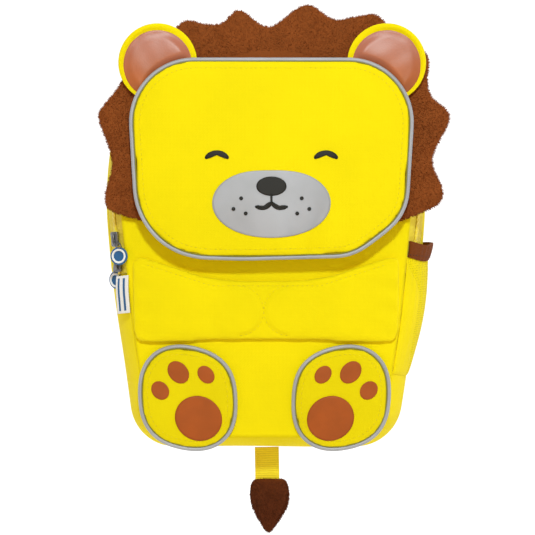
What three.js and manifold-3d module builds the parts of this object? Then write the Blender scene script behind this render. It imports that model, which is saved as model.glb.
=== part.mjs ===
// A toddler's harness backpack in the form of a lion.
// Millimetres, +Z up, +X to the right as seen from the front, the front faces -Y.
// The origin is the centre of the back panel's outer face, which lies on the wearer's back.
import * as THREE from 'three';
import { mergeVertices } from 'three/addons/utils/BufferGeometryUtils.js';
import Module from 'manifold-3d';

const wasm = await Module();
wasm.setup();

// Fits
const gap = 0.3;
const seat = 0.85;
const cloth = 2;
const thinCloth = 1.4;

// Body
const bodyWidth = 221;
const bodyHeight = 269;
const bodyDepth = 78;
const backInset = 6;
const frontInset = 12;
const frontRounding = 2.8;
const widestShare = 0.4;
const frontDome = 8;
const backPad = 4;
const zipSideHeight = -18;

// Zip
const zipTapeStart = 0.73;
const zipCoilStart = 0.855;
const zipCoilEnd = 0.905;
const coilRise = 0.8;
const sliderLength = 10;
const sliderWidth = 7;
const sliderHeight = 3.4;
const pullRadius = 6;
const pullHole = 2;
const pullThickness = 1.8;

// Head
const flapWidth = 188;
const flapHeight = 129.6;
const flapTop = 123.7;
const flapShift = 3.6;
const flapPad = 5;
const flapEdge = 2.6;
const pipingRadius = 1.4;
const maneReach = 120;
const maneCentreHeight = 60;
const maneThickness = 7.4;
const maneRipple = 2.4;
const earRadius = 26.2;
const earSpreadShare = 0.6335;
const earHeightShare = 0.528;
const earShift = 0.5;
const earThickness = 2.6;
const earRim = 3.4;
const earLean = 1.5;
const liningThickness = 1;
const printThickness = 0.8;
const muzzleWidth = 78;
const muzzleHeight = 46;
const muzzleLow = 30;
const noseWidth = 20;
const eyeWidth = 13;
const eyeSpread = 36;
const eyeHeight = 62;

// Arms and feet
const armPad = 6;
const armEdge = 3;
const armReach = 90;
const armDrop = 62;
const footRadius = 32.2;
const pawReach = 30.9;
const footSpread = 50.5;
const footShift = -1;
const footCentre = -99.8;
const footPad = 5;
const footEdge = 3;

// Side pocket, tag and tail
const pocketTop = -7;
const pocketBottom = -86;
const pocketBulge = 4.9;
const bindingThickness = 2;
const bindingHeight = 11;
const bindingFlare = 1.5;
const tagWidth = 11;
const tagLength = 26;
const tailWidth = 16.5;
const tailStrapLength = 21;
const tuftWidth = 27.4;
const tuftLength = 36.5;

// Back
const strapWidth = 44;
const strapPad = 8;
const strapSpread = 42;
const webWidth = 20;
const webThickness = 1.6;
const ringWidth = 24;
const ringWire = 3.4;
const ringHeight = 78;
const handleWidth = 10;
const handleSpan = 24;
const handleTop = 146;
const buckleWidth = 32;
const buckleHeight = 27;
const buckleThickness = 8;
const chestHeight = 40;
const handleSeam = 102;
const strapSeam = 96;
const strapCrest = 121;
const strapCrestDepth = 22;
const strapBow = 52;
const strapEnd = -36;
const strapEndDepth = 38;
const webSeam = -116;

const scene = new THREE.Group();
scene.name = 'lion_harness_backpack';

const materials = {
  yellow_cloth: { color: 0xf8e71c, roughness: 0.82, metalness: 0 },
  yellow_webbing: { color: 0xf1d224, roughness: 0.8, metalness: 0 },
  brown_plush: { color: 0x824825, roughness: 0.97, metalness: 0 },
  dark_plush: { color: 0x4c2415, roughness: 0.97, metalness: 0 },
  grey_reflective: { color: 0xb0b8c2, roughness: 0.5, metalness: 0.1 },
  black_print: { color: 0x1d1d1b, roughness: 0.6, metalness: 0 },
  brown_print: { color: 0xaa5826, roughness: 0.7, metalness: 0 },
  brown_lining: { color: 0xb96432, roughness: 0.35, metalness: 0 },
  brown_binding: { color: 0x8a4b24, roughness: 0.8, metalness: 0 },
  white_label: { color: 0xf2f4f5, roughness: 0.6, metalness: 0 },
  blue_rubber: { color: 0x1e5a8c, roughness: 0.5, metalness: 0 },
  zip_metal: { color: 0x3b4048, roughness: 0.35, metalness: 0.9 },
  yellow_plastic: { color: 0xf0cf1e, roughness: 0.4, metalness: 0 },
};

function addPiece(name, geometry, material) {
  const mesh = new THREE.Mesh(geometry, new THREE.MeshStandardMaterial(materials[material]));
  mesh.name = name;
  scene.add(mesh);
  return mesh;
}

// A closed solid from points and triangles, turned so that its faces look outwards.
function solidFrom(points, faces) {
  let volume = 0;
  for (const [a, b, c] of faces) {
    const [p, q, r] = [points[a], points[b], points[c]];
    volume += p[0] * (q[1] * r[2] - q[2] * r[1]);
    volume += p[1] * (q[2] * r[0] - q[0] * r[2]);
    volume += p[2] * (q[0] * r[1] - q[1] * r[0]);
  }
  const turned = volume < 0 ? faces.map(([a, b, c]) => [a, c, b]) : faces;
  const geometry = new THREE.BufferGeometry();
  geometry.setAttribute('position', new THREE.Float32BufferAttribute(points.flat(), 3));
  geometry.setIndex(turned.flat());
  geometry.computeVertexNormals();
  return geometry;
}

// A curved sheet between an outer and an inner grid of points with the same rows and columns.
function sheetSolid(outer, inner) {
  const rows = outer.length;
  const columns = outer[0].length;
  const points = [...outer.flat(), ...inner.flat()];
  const inside = rows * columns;
  const at = (row, column) => row * columns + column;
  const faces = [];
  const quad = (a, b, c, d) => faces.push([a, b, c], [a, c, d]);
  for (let row = 0; row < rows - 1; row++) {
    for (let column = 0; column < columns - 1; column++) {
      const corners = [at(row, column), at(row + 1, column), at(row + 1, column + 1), at(row, column + 1)];
      quad(...corners);
      quad(...corners.reverse().map((corner) => corner + inside));
    }
  }
  const rim = [];
  for (let column = 0; column < columns - 1; column++) rim.push(at(0, column));
  for (let row = 0; row < rows - 1; row++) rim.push(at(row, columns - 1));
  for (let column = columns - 1; column > 0; column--) rim.push(at(rows - 1, column));
  for (let row = rows - 1; row > 0; row--) rim.push(at(row, 0));
  rim.forEach((corner, index) => {
    const next = rim[(index + 1) % rim.length];
    quad(corner, next, next + inside, corner + inside);
  });
  return solidFrom(points, faces);
}

// A plate over an outline in X and Z. Its face and back lie at the Y that two functions of
// x, z and the share of the way from the centre to the outline give.
function plateSolid(outline, shares, face, back) {
  const count = outline.length;
  const centre = middleOf(outline);
  const points = [];
  for (const side of [face, back]) {
    points.push([centre[0], side(...centre, 0), centre[1]]);
    for (const share of shares) {
      for (const [x, z] of outline) {
        const px = centre[0] + (x - centre[0]) * share;
        const pz = centre[1] + (z - centre[1]) * share;
        points.push([px, side(px, pz, share), pz]);
      }
    }
  }
  const half = 1 + shares.length * count;
  const faces = [];
  for (const [start, flip] of [[0, false], [half, true]]) {
    const push = (a, b, c) => faces.push(flip ? [a, c, b] : [a, b, c]);
    for (let step = 0; step < count; step++) {
      const next = (step + 1) % count;
      push(start, start + 1 + step, start + 1 + next);
      for (let ring = 0; ring < shares.length - 1; ring++) {
        const near = start + 1 + ring * count;
        const far = near + count;
        push(near + step, far + step, far + next);
        push(near + step, far + next, near + next);
      }
    }
  }
  const edge = 1 + (shares.length - 1) * count;
  for (let step = 0; step < count; step++) {
    const next = (step + 1) % count;
    faces.push([edge + step, half + edge + step, half + edge + next]);
    faces.push([edge + step, half + edge + next, edge + next]);
  }
  return solidFrom(points, faces);
}

// A solid swept through loops of points; closed joins the last loop to the first.
function sweepSolid(loops, closed) {
  const count = loops[0].length;
  const points = loops.flat();
  const faces = [];
  const last = closed ? loops.length : loops.length - 1;
  for (let row = 0; row < last; row++) {
    const near = row * count;
    const far = ((row + 1) % loops.length) * count;
    for (let step = 0; step < count; step++) {
      const next = (step + 1) % count;
      faces.push([near + step, far + step, far + next], [near + step, far + next, near + next]);
    }
  }
  if (!closed) {
    for (const [start, flip] of [[0, true], [(loops.length - 1) * count, false]]) {
      const loop = points.slice(start, start + count);
      const hub = points.length;
      points.push([0, 1, 2].map((axis) => loop.reduce((sum, point) => sum + point[axis], 0) / count));
      for (let step = 0; step < count; step++) {
        const next = (step + 1) % count;
        faces.push(flip ? [hub, start + step, start + next] : [hub, start + next, start + step]);
      }
    }
  }
  return solidFrom(points, faces);
}

function middleOf(outline) {
  const box = new THREE.Box2().setFromPoints(outline.map(([x, z]) => new THREE.Vector2(x, z)));
  const centre = box.getCenter(new THREE.Vector2());
  return [centre.x, centre.y];
}

// An outline with rounded corners from rows of x, z, radius and arc steps, in turning order.
function roundedOutline(corners, sideSteps) {
  const outline = [];
  corners.forEach((corner, index) => {
    const before = corners[(index + corners.length - 1) % corners.length];
    const after = corners[(index + 1) % corners.length];
    const point = new THREE.Vector2(corner[0], corner[1]);
    const into = new THREE.Vector2(before[0], before[1]).sub(point).normalize();
    const out = new THREE.Vector2(after[0], after[1]).sub(point).normalize();
    const half = Math.acos(THREE.MathUtils.clamp(into.dot(out), -1, 1)) / 2;
    const reach = corner[2] / Math.tan(half);
    const start = point.clone().addScaledVector(into, reach);
    const end = point.clone().addScaledVector(out, reach);
    const hub = into.clone().add(out).normalize().multiplyScalar(corner[2] / Math.sin(half)).add(point);
    const first = Math.atan2(start.y - hub.y, start.x - hub.x);
    let turn = Math.atan2(end.y - hub.y, end.x - hub.x) - first;
    turn -= 2 * Math.PI * Math.round(turn / (2 * Math.PI));
    for (let step = 0; step <= corner[3]; step++) {
      const angle = first + (turn * step) / corner[3];
      outline.push([hub.x + corner[2] * Math.cos(angle), hub.y + corner[2] * Math.sin(angle)]);
    }
  });
  return splitSides(outline, sideSteps);
}

// Long straight runs of an outline are split so that no step is longer than the given length.
function splitSides(outline, longest) {
  return outline.flatMap((point, index) => {
    const next = outline[(index + 1) % outline.length];
    const steps = Math.max(1, Math.round(Math.hypot(next[0] - point[0], next[1] - point[1]) / longest));
    return Array.from({ length: steps }, (_, step) => [
      point[0] + ((next[0] - point[0]) * step) / steps,
      point[1] + ((next[1] - point[1]) * step) / steps,
    ]);
  });
}

function ellipse(x, z, halfWidth, halfHeight, count, tilt = 0) {
  return Array.from({ length: count }, (_, step) => {
    const angle = (2 * Math.PI * step) / count;
    const across = halfWidth * Math.cos(angle);
    const up = halfHeight * Math.sin(angle);
    return [x + across * Math.cos(tilt) - up * Math.sin(tilt), z + across * Math.sin(tilt) + up * Math.cos(tilt)];
  });
}

const mirrored = (outline) => outline.map(([x, z, ...rest]) => [-x, z, ...rest]).reverse();

// Body outline at its widest, counter-clockwise from the lower right corner
const half = bodyWidth / 2;
const foot = bodyHeight / 2;
const rightCorners = [
  [half * 0.83, -foot, 38, 6],
  [half, foot * 0.3, 200, 3],
  [half * 0.87, foot, 58, 7],
];
const bodyOutline = roundedOutline([...rightCorners, ...mirrored(rightCorners)], 26);
const bodyCount = bodyOutline.length;

function outlineNormal(index) {
  const before = bodyOutline[(index + bodyCount - 1) % bodyCount];
  const after = bodyOutline[(index + 1) % bodyCount];
  const length = Math.hypot(after[0] - before[0], after[1] - before[1]);
  return [(after[1] - before[1]) / length, (before[0] - after[0]) / length];
}

// How far the body's outline lies from its widest form at a share of the depth.
function inset(share) {
  if (share < widestShare) return -backInset * ((widestShare - share) / widestShare) ** 2;
  return -frontInset * ((share - widestShare) / (1 - widestShare)) ** frontRounding;
}

// A point on the body's side at an outline position, a share of the depth and a height above it.
function bodySide(position, share, rise) {
  const low = Math.floor(position);
  const mix = position - low;
  const ends = [low % bodyCount, (low + 1) % bodyCount];
  const [point, normal] = [(index) => bodyOutline[index], outlineNormal].map((read) =>
    [0, 1].map((axis) => read(ends[0])[axis] * (1 - mix) + read(ends[1])[axis] * mix));
  const step = 0.01;
  const slope = (inset(share + step) - inset(share - step)) / (2 * step);
  const length = Math.hypot(bodyDepth, slope);
  const out = inset(share) + (rise * bodyDepth) / length;
  const back = -backPad - gap - (bodyDepth - backPad - gap) * share + (rise * slope) / length;
  return [point[0] + normal[0] * out, back, point[1] + normal[1] * out];
}

// The outline position where the body's right side passes a height.
function positionAt(height, side) {
  for (let index = 0; index < bodyCount; index++) {
    const [point, next] = [bodyOutline[index], bodyOutline[(index + 1) % bodyCount]];
    const rising = side > 0 && point[0] > 0 && point[1] <= height && next[1] > height;
    const falling = side < 0 && point[0] < 0 && point[1] > height && next[1] <= height;
    if (rising || falling) return index + (height - point[1]) / (next[1] - point[1]);
  }
  return 0;
}

function positions(from, to) {
  const inner = [];
  for (let index = Math.floor(from) + 1; index < to - 0.02; index++) inner.push(index);
  return [from, ...inner, to];
}

// A patch of the body's side between outline positions and depth shares
function sidePatch(along, shares, rise, thickness) {
  const grid = (height) => along.map((position) => shares.map((share) => bodySide(position, share, height)));
  return sheetSolid(grid(rise), grid(rise - thickness));
}

const zipRight = positionAt(zipSideHeight, 1);
const zipLeft = positionAt(zipSideHeight, -1);
const seamStep = 0.02;
const upperRun = positions(zipRight + seamStep, zipLeft - seamStep);
const lowerRun = positions(zipLeft + seamStep, bodyCount + zipRight - seamStep);
const shareGap = gap / bodyDepth;

addPiece('base_gusset', sidePatch(lowerRun, [0, 0.25, 0.5, 0.75, 0.9, 1], 0, cloth), 'yellow_cloth');
addPiece(
  'zip_gusset',
  sidePatch(upperRun, [0, 0.25, 0.5, zipTapeStart - shareGap], 0, cloth),
  'yellow_cloth',
);
addPiece(
  'zip_tape_rear',
  sidePatch(upperRun, [zipTapeStart, zipCoilStart - shareGap], 0, thinCloth),
  'yellow_webbing',
);
addPiece(
  'zip_coil',
  sidePatch(upperRun, [zipCoilStart, zipCoilEnd], coilRise, coilRise + thinCloth),
  'yellow_plastic',
);
addPiece(
  'zip_tape_front',
  sidePatch(upperRun, [zipCoilEnd + shareGap, 1], 0, thinCloth),
  'yellow_webbing',
);

// Back panel, a thin pad with rounded edges
const seamOutline = (share) => bodyOutline.map((_, index) => {
  const point = bodySide(index, share, 0);
  return [point[0], point[2]];
});
const padShares = [0.95, 1];
addPiece(
  'back_panel',
  plateSolid(seamOutline(0), padShares, () => -backPad, (x, z, share) => (share === 1 ? -backPad * 0.4 : 0)),
  'yellow_cloth',
);

// Front panel, domed over its outline
const widestHeight = foot * 0.3;
const frontHalfWidth = (height) => {
  const low = (height + foot) / (widestHeight + foot);
  const high = (height - widestHeight) / (foot - widestHeight);
  return half * (height < widestHeight ? 0.81 + 0.19 * low : 1 - 0.13 * high) - frontInset;
};
const lift = (share) => 1 - Math.min(1, Math.abs(share)) ** 2;
const frontFace = (x, z) => -bodyDepth - frontDome * lift(x / frontHalfWidth(z)) * lift(z / (foot - frontInset));
addPiece(
  'front_panel',
  plateSolid(
    seamOutline(1),
    [0.3, 0.6, 0.83, 1],
    (x, z) => frontFace(x, z) - gap - cloth,
    (x, z) => frontFace(x, z) - gap,
  ),
  'yellow_cloth',
);
const frontSurface = (x, z) => frontFace(x, z) - gap - cloth;

// Mane, a plush ring with points, open at the chin
const mane = [
  [-26, 0.79],
  [-20, 0.88],
  [-15, 0.962],
  [-10, 0.962],
  [0, 0.893],
  [13, 1.013],
  [21, 0.953],
  [26, 0.962],
  [33, 1.035],
  [40, 1.015],
  [47, 0.98],
  [54, 0.985],
  [60, 0.905],
  [66, 0.845],
  [77.6, 0.872],
  [91, 0.73],
  [102, 0.84],
  [110, 0.8],
  [116, 0.83],
  [122, 0.9],
  [129, 0.895],
  [135, 0.945],
  [145, 0.945],
  [154, 0.934],
  [162, 0.972],
  [167, 0.982],
  [181, 0.882],
  [192, 0.942],
  [198, 0.933],
  [206, 0.785],
];
const maneBack = (x, z) => frontSurface(x, z) - seat;
const maneCurve = new THREE.CatmullRomCurve3(
  mane.map(([degrees, reach]) => {
    const angle = THREE.MathUtils.degToRad(degrees);
    const radius = reach * maneReach;
    return new THREE.Vector3(flapShift + radius * Math.cos(angle), 0, maneCentreHeight + radius * Math.sin(angle));
  }),
);
const maneSteps = 58;
const maneEdge = maneCurve.getPoints(maneSteps);
const maneInner = 0.58;
const maneShares = [maneInner, 0.8, 0.95, 1];
const manePoint = (edge, share, forward) => {
  const ripple = maneRipple * Math.max(0, share - 0.85) * 2.5 * (1 - Math.cos(edge.x * 0.11 + edge.z * 0.13));
  const thin = share === 1 ? 0.25 : 0;
  const x = flapShift + (edge.x - flapShift) * share;
  const z = maneCentreHeight + (edge.z - maneCentreHeight) * share;
  return [x, maneBack(x, z) - maneThickness * (forward ? 1 - thin : thin) + ripple, z];
};
const maneGrid = (forward) => maneEdge.map((edge) => maneShares.map((share) => manePoint(edge, share, forward)));
addPiece('mane', sheetSolid(maneGrid(true), maneGrid(false)), 'brown_plush');

// Ears, cups between the mane and the flap whose free part leans forward
const earBack = (x, z) => maneBack(x, z) - maneThickness - seat;
const earHeight = maneCentreHeight + maneReach * earHeightShare;
const earCentre = (side) => [flapShift + earShift + side * maneReach * earSpreadShare, earHeight];
const earReach = (side, x, z) => {
  const [cx, cz] = earCentre(side);
  const along = (side * (x - cx) + (z - cz)) * Math.SQRT1_2;
  return THREE.MathUtils.smoothstep(along, earRadius * 0.12, earRadius);
};
const liningRadius = 0.78;
for (const [side, name] of [[-1, 'left'], [1, 'right']]) {
  const [cx, cz] = earCentre(side);
  const floor = (x, z) => earBack(x, z) - earLean * earReach(side, x, z);
  const rim = (share) => (share > 0.82 && share < 0.99 ? 1 : 0);
  addPiece(
    `ear_${name}`,
    plateSolid(
      ellipse(cx, cz, earRadius, earRadius, 24),
      [0.5, 0.81, 0.9, 1],
      (x, z, share) => floor(x, z) - earThickness - earRim * rim(share) * earReach(side, x, z),
      (x, z) => floor(x, z),
    ),
    'yellow_cloth',
  );
  addPiece(
    `ear_lining_${name}`,
    plateSolid(
      ellipse(cx, cz, earRadius * liningRadius, earRadius * liningRadius, 24),
      [0.5 / liningRadius, 1],
      (x, z) => floor(x, z) - earThickness - gap - liningThickness,
      (x, z) => floor(x, z) - earThickness - gap,
    ),
    'brown_lining',
  );
}

// Head flap, a domed pad in front of the mane and the ears
const flapHalf = flapWidth / 2;
const flapTaper = 0.915;
const flapBottom = flapTop - flapHeight;
const flapCorners = [
  [flapShift + flapHalf * flapTaper, flapBottom, 48, 6],
  [flapShift + flapHalf, flapTop, 40, 6],
  [flapShift - flapHalf, flapTop, 40, 6],
  [flapShift - flapHalf * flapTaper, flapBottom, 48, 6],
];
const flapOutline = roundedOutline(flapCorners, 24);
const flapBack = (x, z) => earBack(x, z) - earThickness - liningThickness - 2 * gap;
const flapFace = (x, z, share) => flapBack(x, z) - flapEdge - (flapPad - flapEdge) * (1 - share ** 8);
addPiece(
  'head_flap',
  plateSolid(flapOutline, [0.35, 0.65, 0.88, 1], flapFace, flapBack),
  'yellow_cloth',
);

// A round cord along the edge of a plate
function edgePiping(outline, radius, depthAt) {
  const count = outline.length;
  const sides = 6;
  const loops = outline.map((point, index) => {
    const before = outline[(index + count - 1) % count];
    const after = outline[(index + 1) % count];
    const length = Math.hypot(after[0] - before[0], after[1] - before[1]);
    const out = [(after[1] - before[1]) / length, (before[0] - after[0]) / length];
    return Array.from({ length: sides }, (_, step) => {
      const angle = (2 * Math.PI * (step + 0.5)) / sides;
      const away = gap + radius + radius * Math.cos(angle);
      return [
        point[0] + out[0] * away,
        depthAt(...point) + radius * Math.sin(angle),
        point[1] + out[1] * away,
      ];
    });
  });
  return sweepSolid(loops, true);
}
addPiece(
  'flap_piping',
  edgePiping(flapOutline, pipingRadius, (x, z) => flapBack(x, z) - pipingRadius),
  'grey_reflective',
);

// Prints and patches that lie on a face
function printOn(name, outline, surface, lower, material) {
  addPiece(
    name,
    plateSolid(
      outline,
      outline.length > 12 ? [0.6, 1] : [1],
      (x, z) => surface(x, z) - lower - gap - printThickness,
      (x, z) => surface(x, z) - lower - gap,
    ),
    material,
  );
}
const flapPlain = (x, z) => flapFace(x, z, 0);
const muzzleSteps = 26;
const muzzleOutline = Array.from({ length: muzzleSteps }, (_, step) => {
  const angle = (2 * Math.PI * step) / muzzleSteps;
  const lobes = 1 + 0.1 * Math.cos(2 * angle) - 0.06 * Math.max(0, Math.sin(angle)) ** 6;
  return [
    flapShift + (muzzleWidth / 2.2) * lobes * Math.cos(angle),
    muzzleLow + (muzzleHeight / 1.8) * lobes * Math.sin(angle),
  ];
});
printOn('muzzle', muzzleOutline, flapPlain, 0, 'grey_reflective');
const onMuzzle = printThickness + gap;
printOn(
  'nose',
  ellipse(flapShift, muzzleLow + muzzleHeight * 0.24, noseWidth / 2, noseWidth * 0.32, 14),
  flapPlain,
  onMuzzle,
  'black_print',
);
for (const [side, name] of [[-1, 'left'], [1, 'right']]) {
  printOn(
    `eye_${name}`,
    ellipse(flapShift + side * eyeSpread, eyeHeight, eyeWidth / 2, eyeWidth * 0.3, 14),
    flapPlain,
    0,
    'black_print',
  );
}

// Arms, two stuffed pads over a thin backing that reaches from seam to seam
const armCentre = -3;
const armGap = 0.7;
const handRadius = 17;
const armCorners = (side) => [
  [side * armReach * 0.965, -armDrop, 5, 3],
  [side * armReach, -4, 5, 3],
  [armCentre + side * 42, -19, 60, 2],
  [armCentre + (side * armGap) / 2, -23, handRadius, 5],
  [armCentre + (side * armGap) / 2, -58, handRadius, 5],
];
const backingCorners = [
  [armReach * 0.96, -armDrop + 3, 5, 2],
  [armReach * 0.98, -8, 5, 2],
  [armReach * 0.45, -23, 60, 2],
  [-armReach * 0.45, -23, 60, 2],
  [-armReach * 0.98, -8, 5, 2],
  [-armReach * 0.96, -armDrop + 3, 5, 2],
];
addPiece(
  'arm_backing',
  plateSolid(
    roundedOutline(backingCorners, 22),
    [0.25, 0.5, 0.75, 1],
    (x, z) => frontSurface(x, z) - gap - thinCloth,
    (x, z) => frontSurface(x, z) - gap,
  ),
  'yellow_cloth',
);
const armBack = (x, z) => frontSurface(x, z) - 2 * gap - thinCloth;
const puff = (share) => Math.sqrt(1 - Math.min(1, share) ** 3);
for (const [side, name] of [[-1, 'left'], [1, 'right']]) {
  addPiece(
    `arm_${name}`,
    plateSolid(
      roundedOutline(armCorners(side), 14),
      [0.5, 0.8, 1],
      (x, z, share) => armBack(x, z) - armEdge - armPad * puff(share),
      armBack,
    ),
    'yellow_cloth',
  );
}

// Feet, two pads with piping and printed paws
const pawShares = [
  { name: 'toe_outer', across: 0.613, up: 0.173, width: 6.6, height: 5.5, tilt: 0.85 },
  { name: 'toe_middle', across: 0.222, up: 0.566, width: 8.2, height: 6.3, tilt: 0.85 },
  { name: 'toe_inner', across: -0.375, up: 0.516, width: 6.5, height: 5, tilt: 0.85 },
  { name: 'main_pad', across: -0.212, up: -0.43, width: 16, height: 14.8, tilt: 0.5 },
];
const footSteps = 26;
const footLean = 0.873;
// A rounded pad that is longest from its upper outer corner to its lower inner one
function footReach(side, angle) {
  const turn = (side > 0 ? angle : Math.PI - angle) - footLean;
  const first = 0.0175 * Math.cos(turn) - 0.0125 * Math.sin(turn);
  const second = 0.05 * Math.cos(2 * turn) + 0.025 * Math.sin(2 * turn);
  return footRadius * (1 + first + second + 0.032 * Math.cos(4 * turn));
}
for (const [side, name] of [[-1, 'left'], [1, 'right']]) {
  const centre = footShift + side * footSpread;
  const outline = Array.from({ length: footSteps }, (_, step) => {
    const angle = (2 * Math.PI * step) / footSteps;
    return [centre + footReach(side, angle) * Math.cos(angle), footCentre + footReach(side, angle) * Math.sin(angle)];
  });
  const back = (x, z) => frontSurface(x, z) - gap;
  const face = (x, z, share) => back(x, z) - footEdge - footPad * (1 - share ** 4);
  addPiece(`foot_${name}`, plateSolid(outline, [0.5, 0.8, 1], face, back), 'yellow_cloth');
  addPiece(
    `foot_piping_${name}`,
    edgePiping(outline, pipingRadius, (x, z) => back(x, z) - pipingRadius),
    'grey_reflective',
  );
  const plain = (x, z) => face(x, z, 0);
  for (const pad of pawShares) {
    printOn(
      `${pad.name}_${name}`,
      ellipse(
        centre + side * pad.across * pawReach,
        footCentre + pad.up * pawReach,
        pad.width,
        pad.height,
        pad.name === 'main_pad' ? 20 : 12,
        side * pad.tilt,
      ),
      plain,
      0,
      'brown_print',
    );
  }
}

// Side pocket on the right, sewn at three edges and gaping at its bound top
const pocketStart = positionAt(pocketBottom, 1);
const pocketEnd = positionAt(pocketTop, 1);
const pocketRun = Array.from({ length: 9 }, (_, step) => pocketStart + ((pocketEnd - pocketStart) * step) / 8);
const pocketShares = [0.05, 0.12, 0.3, 0.5, 0.7, 0.88, 0.95];
const pocketTurn = 2.4;
const pocketRise = (position, share) => {
  const up = (position - pocketStart) / (pocketEnd - pocketStart);
  const across = 1 - Math.abs((share - 0.5) / 0.45) ** 3;
  return gap + pocketBulge * Math.max(0, across) * Math.sin(pocketTurn * Math.min(1, up) ** 0.8);
};
const pocketGrid = (rise) => pocketRun.map((position) =>
  pocketShares.map((share) => bodySide(position, share, pocketRise(position, share) + rise)));
addPiece('side_pocket', sheetSolid(pocketGrid(thinCloth), pocketGrid(0)), 'yellow_webbing');
const pocketSeam = 0.03;
const bindingLength = (bindingHeight / (pocketTop - pocketBottom)) * (pocketEnd - pocketStart);
const bindingRun = [pocketEnd + pocketSeam, pocketEnd + pocketSeam + bindingLength];
const flareAt = (share) => bindingFlare * Math.max(0, 1 - Math.abs((share - 0.5) / 0.45) ** 3);
const bindingGrid = (rise) => bindingRun.map((position, row) =>
  pocketShares.map((share) => bodySide(position, share, pocketRise(pocketEnd, share) + row * flareAt(share) + rise)));
addPiece('pocket_binding', sheetSolid(bindingGrid(bindingThickness), bindingGrid(0)), 'brown_binding');

// Zip sliders and their round pulls, flat on the left side
function sidePlace(height, share, rise) {
  const position = positionAt(height, -1);
  const origin = new THREE.Vector3(...bodySide(position, share, rise));
  const out = new THREE.Vector3(...bodySide(position, share, rise + 1)).sub(origin).normalize();
  const down = new THREE.Vector3(...bodySide(position + 0.1, share, rise)).sub(origin).normalize();
  const across = new THREE.Vector3().crossVectors(down, out).normalize();
  return new THREE.Matrix4().makeBasis(across, down, out).setPosition(origin);
}
const zipMiddle = (zipCoilStart + zipCoilEnd) / 2;
const sliderRise = coilRise + gap;
const sliderShape = new THREE.Shape()
  .moveTo(-sliderWidth * 0.3, -sliderLength / 2)
  .lineTo(sliderWidth * 0.3, -sliderLength / 2)
  .lineTo(sliderWidth / 2, sliderLength / 2)
  .lineTo(-sliderWidth / 2, sliderLength / 2)
  .closePath();
const pullShape = new THREE.Shape().absarc(0, 0, pullRadius, 0, 2 * Math.PI, false);
pullShape.holes.push(new THREE.Path().absarc(0, pullRadius * 0.55, pullHole / 2, 0, 2 * Math.PI, true));
const pullTurn = -0.5;
const sliderHeights = { upper: 6, lower: -11 };
for (const [name, height] of Object.entries(sliderHeights)) {
  const slider = new THREE.ExtrudeGeometry(sliderShape, { depth: sliderHeight, bevelEnabled: false });
  slider.applyMatrix4(sidePlace(height, zipMiddle, sliderRise));
  addPiece(`zip_slider_${name}`, slider, 'zip_metal');
}
const makePull = () => new THREE.ExtrudeGeometry(pullShape, {
  depth: pullThickness,
  bevelEnabled: false,
  curveSegments: 7,
});
// The upper pull hangs in front of the seam and faces forward, the lower lies on the gusset.
const pullHeight = sliderHeights.upper - sliderLength / 2 - pullRadius * 0.75;
const seamPoint = bodySide(positionAt(pullHeight, -1), 1, 0);
addPiece(
  'zip_pull_upper',
  makePull().rotateX(Math.PI / 2).rotateZ(pullTurn)
    .translate(seamPoint[0] - pullRadius * 0.9, seamPoint[1] - pullThickness * 0.25, pullHeight),
  'blue_rubber',
);
addPiece(
  'zip_pull_lower',
  makePull().rotateZ(Math.PI)
    .applyMatrix4(sidePlace(sliderHeights.lower - sliderLength / 2 - pullRadius * 0.62, 0.768, 2 * gap)),
  'blue_rubber',
);

// Side tag, sewn in the front seam and lying back over the gusset
const tagTop = zipSideHeight - 2;
const tagRun = [0, 1, 2, 3].map((step) => positionAt(tagTop - (tagLength * step) / 3, -1));
const tagShares = [0.985 - tagWidth / bodyDepth, 0.985];
const tagGrid = (rise) => tagRun.map((position) => tagShares.map((share) => bodySide(position, share, rise)));
addPiece('side_tag', sheetSolid(tagGrid(2 * gap + thinCloth), tagGrid(2 * gap)), 'white_label');

// Tail, a webbing strap under the base and a plush tuft
const tailDepth = -bodyDepth * 0.55;
const tailTop = -foot - gap;
const tailBottom = tailTop - tailStrapLength;
addPiece(
  'tail_strap',
  new THREE.BoxGeometry(tailWidth, webThickness, tailStrapLength)
    .translate(0.7, tailDepth, (tailTop + tailBottom) / 2),
  'yellow_webbing',
);
const tuftRows = [
  { down: 0, width: 0.74 },
  { down: 0.06, width: 0.88 },
  { down: 0.2, width: 0.98 },
  { down: 0.34, width: 1 },
  { down: 0.52, width: 0.88 },
  { down: 0.7, width: 0.64 },
  { down: 0.88, width: 0.32 },
  { down: 1, width: 0.08 },
];
const tuftDepthShare = 0.62;
addPiece(
  'tail_tuft',
  sweepSolid(
    tuftRows.map(({ down, width }) =>
      Array.from({ length: 14 }, (_, step) => {
        const angle = (2 * Math.PI * step) / 14;
        const radius = (tuftWidth / 2) * width;
        return [
          2.4 + radius * Math.cos(angle),
          tailDepth + radius * tuftDepthShare * Math.sin(angle),
          tailBottom - gap - tuftLength * down,
        ];
      })),
    false,
  ),
  'dark_plush',
);

// A flat band along a path in which the width stays level and the thickness turns with the path
function bandSolid(path, steps, width, thickness, rounding = 0) {
  const curve = new THREE.CatmullRomCurve3(path.map((point) => new THREE.Vector3(...point)));
  const section = rounding
    ? [[-0.5, 0], [-0.5 + rounding, 0.5], [0.5 - rounding, 0.5], [0.5, 0], [0.5 - rounding, -0.5], [-0.5 + rounding, -0.5]]
    : [[-0.5, -0.5], [-0.5, 0.5], [0.5, 0.5], [0.5, -0.5]];
  const level = new THREE.Vector3(1, 0, 0);
  const loops = Array.from({ length: steps + 1 }, (_, step) => {
    const point = curve.getPointAt(step / steps);
    const tangent = curve.getTangentAt(step / steps);
    const across = level.clone().addScaledVector(tangent, -level.dot(tangent)).normalize();
    const out = new THREE.Vector3().crossVectors(across, tangent);
    return section.map(([u, v]) =>
      point.clone().addScaledVector(across, u * width).addScaledVector(out, v * thickness).toArray());
  });
  return sweepSolid(loops, false);
}

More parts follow.
